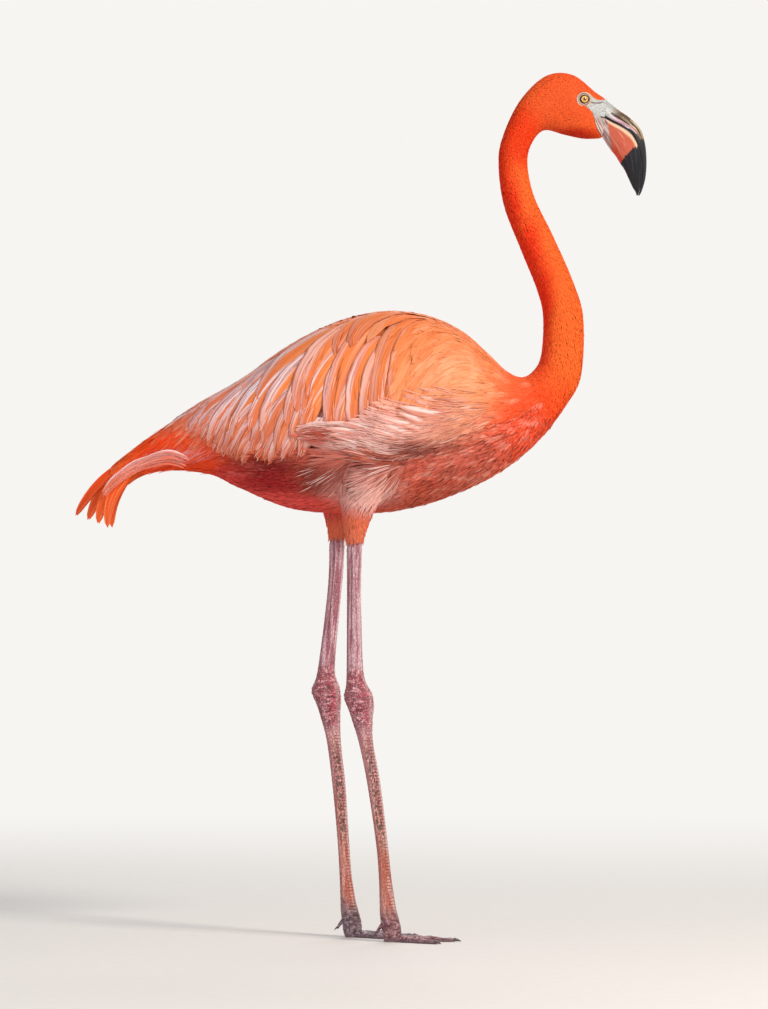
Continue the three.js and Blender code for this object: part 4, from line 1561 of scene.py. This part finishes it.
def loose_barbs(coat, path, start, end, length, high, sign):
    """Thin blades that leave a plume in the outer half of its length, a few degrees
    to either side of it, and end free."""
    plume = np.arange(len(length)).repeat(BARBS_EACH)
    count = len(plume)
    share = rng.uniform(0.4, 0.88, count)
    station = (share * (PLUME_STATIONS - 1)).astype(int)
    p, q = [np.stack([at[way] for at in path])[station, plume] for way in (0, 1)]
    p, q = p + rng.normal(0, 0.035, count), q + rng.normal(0, 0.02, count)
    kept = trunk(p, q)[:, 0] < 40
    p, q, plume, share = p[kept], q[kept], plume[kept], share[kept]
    count = len(p)
    here = lerp(start[plume], end[plume], share)
    turn = rng.normal(0, 5, count)
    reach = np.minimum(length[plume] * (1.0 - share), rng.uniform(20, 44, count)) + 4
    ahead = compass(here + turn, lerp(here, end[plume], 0.5) + 1.6 * turn)
    tips = rng.uniform(0, 0.8, count)

    def rise(share):
        return high - 1.6 * (1 - share) ** 2 + tips * share

    blade, up, _ = walk(trunk, p, q, ahead, reach, rise, BARB_STATIONS)
    shares = np.linspace(0, 1, BARB_STATIONS)
    width = rng.uniform(0.45, 0.95, (count, 1)) * np.sin(math.pi * shares**0.8) ** 0.5
    coat.add(blade, up, width, thick=0.35, map_place=(p, q), mirror=sign)


scapular_finish = plume_finish()
barb_finish = strand_finish("scapular barbs", "f8d8c8", "9c4834", pale_share=0.35, dark_share=0.14)
for side in SIDES:
    plume_coat(side)

# %% [markdown]
# ## Lower wing coverts and flank
#
# In front the lower edge of the wing is covered by pale loose feathers. They sweep back, the upper
# ones rising a little over the plumes and the lower ones first falling and then rising. Below them
# the flank's feathers fan out from one place over the haunch and the thigh. Their roots are laid
# out in the side view, and Newton's steps find the same places on the surface. Both tracts are
# layers of feathers, from broad to hair-thin, with hundreds of loose barbs over them.

# %% Find roots from the side view


def at_side(surface, x, z, side):
    """Rib place and angle where the surface shows (x, z) in the side view. Each step solves the two
    slopes for what is still missing."""
    sign = SIDES[side]
    ribs = np.arange(12)
    rows = np.array(BODY_RIBS[:12])
    p = np.interp(x, (rows[:, 0] + rows[:, 2]) / 2, ribs)
    middle = np.interp(p, ribs, (rows[:, 1] + rows[:, 3]) / 2)
    tall = np.interp(p, ribs, (rows[:, 1] - rows[:, 3]) / 2)
    q = sign * np.arccos(np.clip((z - middle) / tall, -0.95, 0.95))
    for _ in range(10):
        place, along, round_, _ = tangents(surface, p, q)
        dx, dz = x - place[:, 0], z - place[:, 2]
        flat = along[:, 0] * round_[:, 2] - round_[:, 0] * along[:, 2]
        p = np.clip(p + np.clip((dx * round_[:, 2] - dz * round_[:, 0]) / flat, -0.5, 0.5), 1, 12)
        q = q + np.clip((dz * along[:, 0] - dx * along[:, 2]) / flat, -0.3, 0.3)
        q = sign * np.clip(sign * q, 0.15, math.pi - 0.15)
    return p, q


found = at_side(trunk, np.array([50.0]), np.array([680.0]), "right")
print("at X 50 and Z 680 the right wing shows rib", round(found[0][0], 2))

# %% Plan of the lower wing coverts
COVERT_X = [-85, -40, 12, 51, 91, 130, 195]
COVERT_TOP = table(COVERT_X, [688, 694, 686, 702, 722, 738, 730])
COVERT_LOW = table(COVERT_X, [676, 664, 646, 646, 658, 678, 702])
FLOW_TOP = table(COVERT_X, [6, -4, -20, -18, -15, -12, 0])
FLOW_LOW = table(COVERT_X, [-4, -15, -28, 2, 18, 18, 8])
# Soft feathers that lie over the others: root X, root Z, degrees below straight back at the root and
# at the tip, length and half width.
LOOSE_FEATHERS = [
    [118, 702, -8, -18, 68, 7.5],
    [104, 690, -14, -26, 54, 4.5],
    [92, 684, -12, -24, 70, 7.0],
    [80, 675, -18, -24, 52, 5.0],
    [68, 668, -24, -20, 62, 7.5],
    [56, 664, -34, -10, 76, 6.5],
    [48, 660, -38, -2, 104, 6.5],
    [42, 657, -40, 3, 118, 6.0],
    [34, 655, -38, 2, 100, 6.0],
    [46, 652, -32, -18, 88, 5.5],
    [30, 650, -34, -20, 74, 5.5],
    [18, 648, -32, -20, 64, 5.0],
    [50, 648, -24, -16, 84, 3.2],
    [60, 652, -22, -14, 76, 3.4],
    [34, 643, -18, -12, 66, 3.0],
]
# Their three layers: spacing of columns, spacing in a column, share of the length, half width and
# height over the first.
COVERT_LAYERS = [(11, 6, 1.0, 4.6, 0), (9, 4.2, 0.9, 2.2, 0.5), (7, 2.8, 0.8, 0.8, 0.9)]
print(len(LOOSE_FEATHERS), "single coverts on each side, over", len(COVERT_LAYERS), "layers")

# %% Lower wing coverts


def covert_flow(sway, swirl=0.0):
    """Heading in the side view at each step: the flow of the upper or the lower edge of the
    tract, or between them by height, plus each feather's own sway and what its tip turns further."""

    def heading(place, along, share):
        x, z = place[:, 0], place[:, 2]
        high = np.clip((z - COVERT_LOW(x)) / (COVERT_TOP(x) - COVERT_LOW(x)), 0, 1)
        angle = np.radians(lerp(FLOW_LOW(x), FLOW_TOP(x), high) + sway + swirl * share)
        return side_view(angle)

    return heading


def covert_roots(first, last, apart, across, side):
    """Roots from the tract's lower edge to its upper one, in columns apart mm from each other. In
    front they thin out towards the upper edge."""
    x, z = [], []
    for at in np.arange(first, last, apart):
        count = int((COVERT_TOP(at) - COVERT_LOW(at)) / across)
        x.append(at + rng.uniform(-apart, apart, count) / 2)
        high = (np.arange(count) + rng.uniform(0, 1, count)) / count
        z.append(lerp(COVERT_LOW(at), COVERT_TOP(at), high))
    x, z = join(x), join(z)
    high = (z - COVERT_LOW(x)) / (COVERT_TOP(x) - COVERT_LOW(x))
    kept = rng.random(len(x)) > np.interp(x, [40, 100], [0, 1]) * np.clip(high * 2.4 - 1, 0, 0.93)
    x, z = x[kept], z[kept]
    return x, *at_side(trunk, x, z, side)


def covert_coat(side):
    """Three layers of narrow feathers, the soft ones that stand out from them, and loose barbs."""
    coat = Coat(f"coverts_{side}")
    reach = table([-60, 20, 60, 130, 190], [26, 44, 50, 50, 34])
    for apart, across, share, half, over in COVERT_LAYERS:
        x, p, q = covert_roots(-60, 185, apart, across, side)
        contour(coat, trunk, p, q, covert_flow(rng.normal(0, 3, len(p)), 4),
                length=share * reach(x), half=half, depth=3.0, stations=8, thick=0.35,
                lift=0.5, top=2.4 + over, mirror=SIDES[side], arch=0.12)
    coat.finish(covert_finish, "wing_feathers")
    loose = Coat(f"loose_coverts_{side}")
    x, z, start, end, length, half = np.array(LOOSE_FEATHERS).T
    p, q = at_side(trunk, x, z, side)
    contour(loose, trunk, p, q, compass(start, end),
            length=length, half=half[:, None], depth=3.0, stations=16, thick=0.45,
            lift=0.8, top=5.0, mirror=SIDES[side], sides=8, arch=0.2, peak=0.6)
    loose.finish(loose_finish, "wing_feathers")
    barbs = Coat(f"covert_barbs_{side}")
    x, p, q = covert_roots(-60, 170, 6, 3.4, side)
    contour(barbs, trunk, p, q, covert_flow(rng.normal(0, 6, len(p)), 8),
            length=0.75 * reach(x), half=0.5, depth=1.8, stations=7, thick=0.3,
            lift=0.8, top=np.interp(x, [45, 75], [6.0, 4.2]), mirror=SIDES[side])
    barbs.finish(covert_barb_finish, "wing_feathers")


covert_finish = feather_finish(
    "lower wing coverts", "fadccf", "c06c5a", rim=0.15, streak=0.3, tone=0.05, clump=0.35)
loose_finish = soft_finish("loose coverts", "ee9e8c", "fae2dc")
covert_barb_finish = strand_finish("covert barbs", "fcdace", "984e40", pale_share=0.3, dark_share=0.1)
for side in SIDES:
    covert_coat(side)

# %% Flank
# Feathers fan out from one place over the haunch, and over them others from the fold in front of it:
# degrees below straight back, and how far the tips reach at each of them.
FANS = {
    "haunch": {
        "x": -5, "z": 650, "turns": [-40, -33, 0, 35, 62], "reach": [68, 80, 70, 88, 68],
        "top": 2.6, "inner": 34, "strands": 3.0, "loose": 12,
    },
    "front": {
        "x": 62, "z": 641, "turns": [0, 22, 40, 64], "reach": [82, 88, 92, 76],
        "top": 3.6, "inner": 8, "strands": 2.4, "loose": -5,
    },
}
# Their layers: spacing of rings, spacing in a ring, length, half width and height over the first.
FLANK_LAYERS = [(8, 5, 38, 3.6, 0), (5, 3, 34, 1.5, 0.6)]


def draped(side):
    """The trunk's surface with the thigh under the same drape: |y| is at least the thigh's own,
    HIP_Y + (half across + out) * sqrt(1 - ((x - middle) / half) ** 2)."""
    rows = np.array(LEG_RIBS[CUFF::-1], float)
    column = LEG_COLUMN[side]

    def surface(p, q, out=0.0):
        place = trunk(p, q, out)
        x, y, z = np.moveaxis(place, -1, 0)
        middle, half, across = (np.interp(z, rows[:, column + 1], rows[:, k]) for k in (column, 4, 5))
        over = np.clip(1 - ((x - middle) / half) ** 2, 0, 1) ** 0.5
        thigh = HIP_Y - 1 + (across + out) * over
        far = np.abs(y)
        blend = (far**6 + thigh**6) ** (1 / 6) * 0.5 ** (1 / 12)
        return np.stack([x, SIDES[side] * np.where(over > 0, np.maximum(far, blend), far), z], -1)

    return surface


def fan_roots(fan, apart, across, inner, length, side):
    """Roots on rings round the fan's origin, and each one's direction away from it in degrees."""
    rings = []
    first, last = fan["turns"][0], fan["turns"][-1]
    for far in np.arange(inner, max(fan["reach"]) - length, apart):
        count = max(int(far * math.radians(last - first) / across), 3)
        turn = np.linspace(first, last, count) + rng.uniform(-1, 1, count) * 60 / count
        keep = far < np.interp(turn, fan["turns"], fan["reach"]) - length
        rings.append(np.stack([far + rng.uniform(-0.5, 0.5, keep.sum()) * apart, turn[keep]], -1))
    far, turn = join(rings).T
    angle = np.radians(turn)
    return turn, *at_side(trunk, fan["x"] - far * np.cos(angle), fan["z"] - far * np.sin(angle), side)


def flank_coat(side):
    coat = Coat(f"feathers_flank_{side}")
    barbs = Coat(f"flank_barbs_{side}")
    drape = draped(side)
    for fan in FANS.values():
        for apart, across, length, half, over in FLANK_LAYERS:
            turn, p, q = fan_roots(fan, apart, across, 6, length, side)
            contour(coat, drape, p, q, compass(turn, turn + 5),
                    length=length, half=half, depth=2.4, stations=7, thick=0.35,
                    lift=0.4, top=fan["top"] + over, mirror=SIDES[side], arch=0.14)
        turn, p, q = fan_roots(fan, 5, fan["strands"], fan["inner"], 28, side)
        kept = turn > fan["loose"]
        p, q, fall = p[kept], q[kept], turn[kept] + rng.normal(0, 5, kept.sum())
        contour(barbs, drape, p, q, compass(fall, fall + 7),
                length=34, half=0.6, depth=1.4, stations=6, thick=0.3,
                lift=1.0, top=fan["top"] + 1.5, mirror=SIDES[side])
    coat.finish(flank_finish, "plumage")
    barbs.finish(flank_barb_finish, "plumage")


flank_finish = feather_finish(
    "flank feathers", "f0b0a0", "a03c30", rim=0.25, streak=0.3, tone=0.05, clump=0.2)
flank_barb_finish = strand_finish("flank barbs", "fadad2", "8c3c32", pale_share=0.4, dark_share=0.2)
print("flank feathers defined")

# %% Thigh, and both tracts made


def thigh_coat(side):
    """The fan's lines run on over the thigh and turn straight down towards the cuff."""
    coat = Coat(f"feathers_thigh_{side}")
    leg = leg_on(side)
    size = table([0.5, 2, 3], [1.0, 0.85, 0.6])
    fine = np.linspace(1.45, CUFF - 0.12, 400)
    gone = np.cumsum(-np.gradient(leg(fine, 0.0)[:, 2]) / (5.0 * size(fine)))
    rows = np.interp(np.arange(0.5, gone[-1]), gone, fine)
    p, q = [], []
    for number, row in enumerate(rows):
        around = 2 * math.pi * through(LEG_RIBS, np.array([row]))[0, 4:].mean()
        count = int(around / (1.9 * size(row)))
        p.append(row + rng.uniform(-0.03, 0.03, count))
        spots = np.arange(count) + 0.5 * (number % 2) + stray(count)
        q.append(spots * 2 * math.pi / count)
    p, q = join(p), join(q)
    place = leg(p, q)
    fan = FANS["front"]
    away = np.degrees(np.arctan2(fan["z"] - place[:, 2], np.maximum(fan["x"] - place[:, 0], 5)))
    least = np.interp(place[:, 2], [540, 575, 605], [89, 70, 40])
    fall = np.maximum(away, least) + rng.normal(0, 5, len(p))
    contour(coat, leg, p, q, compass(fall, fall + 6),
            length=22 * size(p), half=1.3 * size(p)[:, None], depth=3.0 * size(p),
            stations=5, thick=0.28, lift=0.8)
    coat.finish(thigh_finish, "plumage")


thigh_finish = feather_finish(
    "thigh feathers", "f6c4b4", "b84a34", rim=0.3, streak=0.4, tone=0.1, root_shade=0.15)
for side in SIDES:
    flank_coat(side)
    thigh_coat(side)

# %% [markdown]
# ## Tail
#
# The tail feathers hang in a narrow fan and part near their tips. Their quills are the same curves
# as in the solids. Over their bases lie long glowing coverts, and from below one pale soft covert
# on each side curls up round the tail.

# %% Tail feathers
TAIL = {
    "root": ([-272, 8, 662], [-3, 4, -5]),
    "bend": ([-350, 14, 631], [3.3, 7, -4.5]),
    "tip": ([-380, 15, 570], [14.5, 11, -5.5]),
}
TAIL_ROLL, TAIL_ROLL_NEXT, TAIL_HALF = 42, 7, 9.5
tail_finish = feather_finish(
    "tail feathers", "fba878", "b8340c", rim=0.3, streak=0.4, tone=0.12, root_shade=0.2, fine=2.5)


def tail_coat():
    coat = Coat("tail_feathers")
    shares = np.linspace(0, 1, 18)
    pair = np.arange(4.0)
    for sign in SIDES.values():
        knots = [np.array(at) + np.array(next_) * pair[:, None] for at, next_ in TAIL.values()]
        root, bend, tip = [(knot + rng.normal(0, 1.2, knot.shape)) * [1, sign, 1] for knot in knots]
        s = shares[None, :, None]
        spine = (1 - s) ** 2 * root[:, None] + 2 * s * (1 - s) * bend[:, None] + s**2 * tip[:, None]
        ahead = unit(np.gradient(spine, axis=1))
        level = np.array([0, sign, 0.0])
        level = unit(level - ahead * (ahead @ level)[..., None])
        face = np.cross(ahead, level)
        roll = sign * np.radians(TAIL_ROLL + pair * TAIL_ROLL_NEXT)[:, None, None]
        normals = -sign * (face * np.cos(roll) - level * np.sin(roll))
        half = TAIL_HALF * lerp(0.6, 1, np.minimum(2 * shares, 1)) * np.sqrt(1 - shares**7)
        half = half * (1 - 0.28 * np.clip((shares - 0.6) / 0.4, 0, 1))
        coat.add(spine, -normals, np.tile(half, (len(pair), 1)), thick=0.5,
                 map_place=(pair, sign * (1 + pair)), sides=8, arch=0.12)
    coat.finish(tail_finish, "tail_feathers", ["tail"])


tail_coat()

# %% Tail coverts
tail_covert_finish = feather_finish(
    "tail coverts", "fb8a58", "cc2c0c", rim=0.2, streak=0.35, tone=0.08)


def tail_covert_coat():
    """Long coverts over the rump and the tail's base, then the pale ones below it."""
    coat = Coat("tail_coverts")
    p, q = roots_in_rows(trunk, 0.9, 3.6, lambda u: 16, lambda u: 8.5)
    low = np.abs(wrapped(q)) > math.radians(100)
    fall = np.where(low, 26, 33) + rng.normal(0, 3, len(p))
    length = lerp(62, 78, rng.random(len(p))) * np.where(low, 0.7, 1)
    contour(coat, trunk, p, q, compass(fall, fall + 12),
            length=length, half=5.5, depth=2.0, stations=9, thick=0.4,
            lift=0.8, top=0.8, sides=6, arch=0.14)
    p, q = roots_in_rows(trunk, 0.7, 3.4, lambda u: 9, lambda u: 3.6)
    fall = 32 + rng.normal(0, 6, len(p))
    contour(coat, trunk, p, q, compass(fall, fall + 12),
            length=34, half=0.8, depth=1.4, stations=6, thick=0.3, lift=1.2, top=1.6)
    coat.finish(tail_covert_finish, "tail_feathers")


tail_covert_coat()

# %% Pale coverts under the tail
# Middle line of the pale covert that curls round the tail from below.
UNDER_TAIL = [[-228, 37, 646], [-258, 40, 656], [-298, 42, 643], [-328, 44, 622], [-345, 45, 603]]
SOFT_BLADES, STRANDS = 44, 66


def under_tail_coat():
    """Short soft blades that overlap along one curved line a side, and loose strands over them."""
    coat = Coat("under_tail_coverts")
    shares = np.linspace(0, 1, 12)
    for sign in SIDES.values():
        for number in range(SOFT_BLADES + STRANDS):
            soft = number < SOFT_BLADES
            first = number / SOFT_BLADES * 0.68 if soft else rng.uniform(0, 0.7)
            last = min(first + rng.uniform(0.3, 0.45), 1)
            drop = rng.uniform(-2, 16) * (1 - 0.6 * first)
            half = rng.uniform(2.0, 3.4) if soft else rng.uniform(0.3, 0.5)
            line = through(UNDER_TAIL, lerp(first, last, shares) * (len(UNDER_TAIL) - 1))
            out = 1.2 * shares - 0.5 * drop + (0 if soft else 1.2)
            shift = np.stack([0 * out, out, rng.uniform(-2, 2) * shares - drop], -1)
            spine = (line + shift) * [1, sign, 1]
            normals = np.broadcast_to([0.0, sign, 0.35], spine.shape)
            width = half * np.sin(math.pi * shares**0.85) ** 0.7
            coat.add(spine[None], normals[None], width[None], thick=0.35,
                     map_place=(np.array([drop]), np.array([sign])), sides=6, arch=0.12, mirror=sign)
    coat.finish(soft_finish("under tail coverts", "f08a70", "f6dce0"), "tail_feathers")


under_tail_coat()

# %% [markdown]
# ## Bill
#
# The bill bends sharply down in its middle. Its upper half is a thin lid on a deep lower half.
# Both are swept sections of half an ellipse between the mouth line and a crest. They could be
# carved by hand in Sculpt Mode, but a sweep keeps the mouth line exactly where both halves meet,
# and every point knows its place on the horn, so that streaks and furrows follow the bend.

# %% Shape of the bill
BILL_RIBS = [
    {"culmen": [331, 1130], "mouth": [328.6, 1105], "under": [326, 1078], "half": [12.5, 13.5]},
    {"culmen": [346.5, 1116.5], "mouth": [338, 1100], "under": [335.5, 1064], "half": [12, 15]},
    {"culmen": [363.5, 1104.5], "mouth": [350.5, 1094], "under": [343.5, 1054], "half": [12, 16.5]},
    {"culmen": [376.5, 1090], "mouth": [364, 1084.5], "under": [350, 1043.5], "half": [11.5, 16]},
    {"culmen": [383, 1070], "mouth": [373, 1070], "under": [355, 1036], "half": [10.5, 14]},
    {"culmen": [385, 1047], "mouth": [378, 1049], "under": [360, 1025.5], "half": [8.5, 11]},
    {"culmen": [383.5, 1024], "mouth": [379.2, 1026], "under": [366, 1012.5], "half": [6, 7]},
    {"culmen": [378.5, 1006.5], "mouth": [376, 1008], "under": [370.5, 1005], "half": [3, 3.4]},
    {"culmen": [375, 1000], "mouth": [373.8, 1001], "under": [371.8, 1000.5], "half": [1.2, 1.4]},
]


RINGS, AROUND = 170, 60  # points along each half of the bill and round it


def mandible(crest, which, shape):
    """Section point = mouth + across * half * cos b + (crest - mouth) * sin b, for b from 0 to pi;
    shape(t, b) adds the folds and grooves as a share of the section's size."""
    rows = [[*rib["mouth"], *rib[crest], rib["half"][which]] for rib in BILL_RIBS]
    t, b = grid(np.linspace(0, len(rows) - 1, RINGS), np.linspace(0, math.pi, AROUND))
    mouth_x, mouth_z, crest_x, crest_z, half = np.moveaxis(through(rows, t), -1, 0)
    full = 1 + shape(t, b)
    up_x, up_z = crest_x - mouth_x, crest_z - mouth_z
    gap = 0.15 / np.maximum(np.hypot(up_x, up_z), 0.5)
    reach = np.sin(b) * full + gap
    rings = np.stack([mouth_x + up_x * reach, half * np.cos(b) * full, mouth_z + up_z * reach], -1)
    data = np.stack([t / (len(rows) - 1), np.cos(b), np.sin(b)], -1).reshape(-1, 3)
    points, faces = loft(rings)
    ends = np.array([data[:AROUND].mean(0), data[-AROUND:].mean(0)])
    return points, faces, join([data, ends])


print("the bill has", len(BILL_RIBS), "ribs")

# %% Horn of the bill
HORN = {"Roughness": 0.42, "Specular IOR Level": 0.35}


def bill_place(finish, skew):
    """Rib number, height from the mouth line (0) to the crest (1), and streaks along the bill."""
    along, across, high = split(finish.attribute("bill"))
    rib = along * (len(BILL_RIBS) - 1)
    lines = combine(rib * 0.4, across * 0.5, (high - rib * skew) * 8)
    return rib, high, noise(lines, 1.6, 3.0)


def black_horn(streak):
    return mix(ease(streak, 0.52, 0.72) * 0.6, "111116", "4a4a56")


def upper_horn():
    """Tan streaks on the ridge, a furrow with the nostril slit painted dark as shade, a lilac band below
    it, and the dark line of the mouth, painted shade of the gap between the halves, which widens into
    the black tip."""
    finish = Finish("upper bill", HORN)
    rib, high, streak = bill_place(finish, 0.02)
    shade = mix(ease(streak, 0.44, 0.5), "4c3a2a", "b3946a")
    shade = mix(ease(streak, 0.56, 0.6) * 0.85, shade, "e6dac6")
    band = mix(ease(streak, 0.42, 0.6), "b0808e", "dccad0")
    shade = mix(ease(high, 0.43, 0.37), shade, band)
    face = mix(ease(streak, 0.4, 0.6), "9ea2a0", "c4c8c5")
    shade = mix(ease(rib + (streak - 0.5) * 2.4, 1.1, 0.35), shade, face)
    furrow = ease(abs(high - 0.45), 0.07, 0.02)
    shade = mix(furrow * ease(rib, 0.5, 1.0) * 0.8, shade, "94505e")
    # the nostril slit, painted dark as the shade inside it
    nostril = ease(abs(rib - 1.5), 0.95, 0.8) * ease(abs(high - 0.46), 0.08, 0.05)
    shade = mix(nostril, shade, "1c1212")
    jagged = (streak - 0.5) * 0.8
    dark = ease(rib + jagged - ease(high, 0.0, 0.6) * 1.2, 2.4, 2.6)
    # the mouth line, painted shade of the gap between the halves
    mouth = ease(high, 0.12, 0.08)
    dark = most(dark, mouth)
    finish.paint("Base Color", mix(dark, shade, black_horn(streak)))
    finish.bump(streak, 0.35, 0.0006)
    return finish


def lower_horn():
    """Coral sides under a cream rim, a pale band down the rear edge, a black tip with a jagged border,
    and a dark line of painted shade along the mouth."""
    finish = Finish("lower bill", HORN)
    rib, high, streak = bill_place(finish, 0.12)
    shade = mix(ease(streak, 0.45, 0.3) * 0.6 * ease(high, 0.2, 0.7),
                       "cc6249", "b23c26")
    shade = mix(ease(streak, 0.58, 0.7) * 0.5, shade, "eeb090")
    shade = mix(ease(high, 0.72, 0.95) * ease(rib, 0.9, 1.8) * 0.8, shade, "d43a20")
    shade = mix(ease(high + (streak - 0.5) * 0.1, 0.19, 0.12), shade, "ecc4a4")
    band = mix(ease(streak, 0.4, 0.6), "946c6a", "dccac2")
    shade = mix(ease(rib - high + (streak - 0.5) * 0.6, 0.45, 0.1), shade, band)
    teeth = noise(combine(0.0, 0.0, high * 12), 1.0, 3.0)
    dark = ease(rib + high * 1.2 + (teeth - 0.5), 4.08, 4.2)
    # the mouth line, painted shade of the gap between the halves
    mouth = ease(high, 0.07, 0.04)
    dark = most(dark, mouth)
    finish.paint("Base Color", mix(dark, shade, black_horn(streak)))
    finish.bump(streak, 0.35, 0.0006)
    return finish


print("horn of both halves defined")

# %% Both halves of the bill


def furrowed(t, b):
    """The furrow of the upper half, deepest at the nostril."""
    high = np.sin(b)
    furrow = np.exp(-(((high - 0.45) / 0.05) ** 2)) * np.clip((5.5 - t) / 2, 0, 1)
    nostril = np.exp(-(((high - 0.46) / 0.05) ** 2) - ((t - 1.5) / 0.6) ** 4)
    return -0.03 * furrow - 0.1 * nostril


def rimmed(t, b):
    """A raised rim along the lower half's mouth edge, and faint ridges along its sides."""
    high = np.sin(b)
    rim = 0.035 * np.exp(-(((high - 0.16) / 0.07) ** 2)) * np.clip(5 - t, 0, 1)
    return rim + 0.008 * np.sin(26 * high) * np.clip(high * (4 - t), 0, 1)


def make_bill():
    parts = {
        "bill_upper": ("culmen", 0, upper_horn(), furrowed),
        "bill_lower": ("under", 1, lower_horn(), rimmed),
    }
    for name, (crest, which, finish, shape) in parts.items():
        points, faces, data = mandible(crest, which, shape)
        bill = make_object(name + "_horn", points, faces, [finish], vertex_data={"bill": data})
        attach(bill, "root")
        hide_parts(name)


make_bill()
print("bill made")

# %% [markdown]
# ## Eyes
#
# A golden yellow iris round a small dark pupil, with a dark ring round it, partly the eye's own rim
# and partly painted shade under the lids, all under one wet surface.
# A glass eye would have a painted disc below a clear dome. Here the clear coat of the shader does
# the dome's work, and the rings are angles from the eye's own axis.

# %% Eyeballs


def eye_finish(side):
    finish = Finish(f"eye {side}", {"Roughness": 0.08, "Coat Weight": 1.0, "Coat Roughness": 0.02})
    centre = tuple(metres(eye_centre(side)))
    away = vector("SUBTRACT", finish.node("TexCoord", output="Object"), centre)
    turned = vector("NORMALIZE", away)
    facing = vector("DOT_PRODUCT", turned, tuple(EYE_AXIS[side]))
    far = node("Math", [facing], operation="ARCCOSINE")
    grain = noise(turned, 14.0, 3.0)
    shade = mix(ease(far, 0.17, 0.22), "140d08", "b0701c")
    shade = mix(ease(far + (grain - 0.5) * 0.15, 0.3, 0.45), shade, "e2bd5c")
    shade = mix(ease(far + (grain - 0.5) * 0.1, 0.54, 0.64) * 0.6, shade, "a8741c")
    # dark ring: partly the eye's own rim, partly painted shade under the lids
    shade = mix(ease(far, 0.66, 0.72), shade, "2a140c")
    finish.paint("Base Color", shade)
    return finish


def make_eye(side):
    """A globe of rings round the eye's axis."""
    polar, turn = grid(np.linspace(0.02, math.pi - 0.02, 48),
                              turns(64))
    axis = EYE_AXIS[side]
    ahead = unit(np.cross(axis, [0, 0, 1]))
    up = np.cross(ahead, axis)
    ball = np.cos(polar)[..., None] * axis + np.sin(polar)[..., None] * (
        np.cos(turn)[..., None] * ahead + np.sin(turn)[..., None] * up)
    points, faces = loft(eye_centre(side) + EYE["radius"] * ball)
    eye = make_object(f"eyeball_{side}", points, faces, [eye_finish(side)])
    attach(eye, "root")
    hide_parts(f"eye_{side}")


for side in SIDES:
    make_eye(side)
print("eyes made")

# %% [markdown]
# ## Claws
#
# Short dark claws of horn curve down from the toes. Each is the same taper as the hind toe, swept
# along a short curve, because a cone would look straight and stuck on.

# %% Claws
CLAW = {"length": 8.5, "half": 2.6, "tip": 0.6, "lift": 3.2, "drop": 2.2}
HIND_CLAW = {"length": 5, "half": 2.2, "tip": 0.5, "lift": 0, "drop": 5}


def claw_finish():
    finish = Finish("claw horn", {"Roughness": 0.35})
    place = finish.place()
    grain = noise(vector("MULTIPLY", place, (0.3, 1.6, 1.6)), 1.0, 3.0)
    finish.paint("Base Color", mix(grain, "2a2124", "6a545a"))
    finish.bump(grain, 0.3, 0.0005)
    return finish


def make_claws():
    """Each starts 1.5 mm inside its toe and bends down: height = lift - drop s^2."""
    horn = claw_finish()
    ends = {name: (toe["length"], 0, toe["turn"], CLAW) for name, toe in TOES.items()}
    ends["hind"] = (20, 14, 180, HIND_CLAW)
    s = np.linspace(0, 1, 5)
    for side in SIDES:
        for name, (away, z, turn, form) in ends.items():
            ahead = away + s * form["length"] - 1.5 * (1 - s)
            places = np.stack([ahead, z + form["lift"] - form["drop"] * s**2], -1)
            halves = lerp(form["half"], form["tip"], s**1.3)
            points, faces = spur(side, places, halves, turn)
            claw = make_object(f"claw_horn_{side}_{name}", points, faces, [horn])
            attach(claw, "root")
            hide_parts(f"claw_{side}_{name}")


make_claws()
print("claws made")
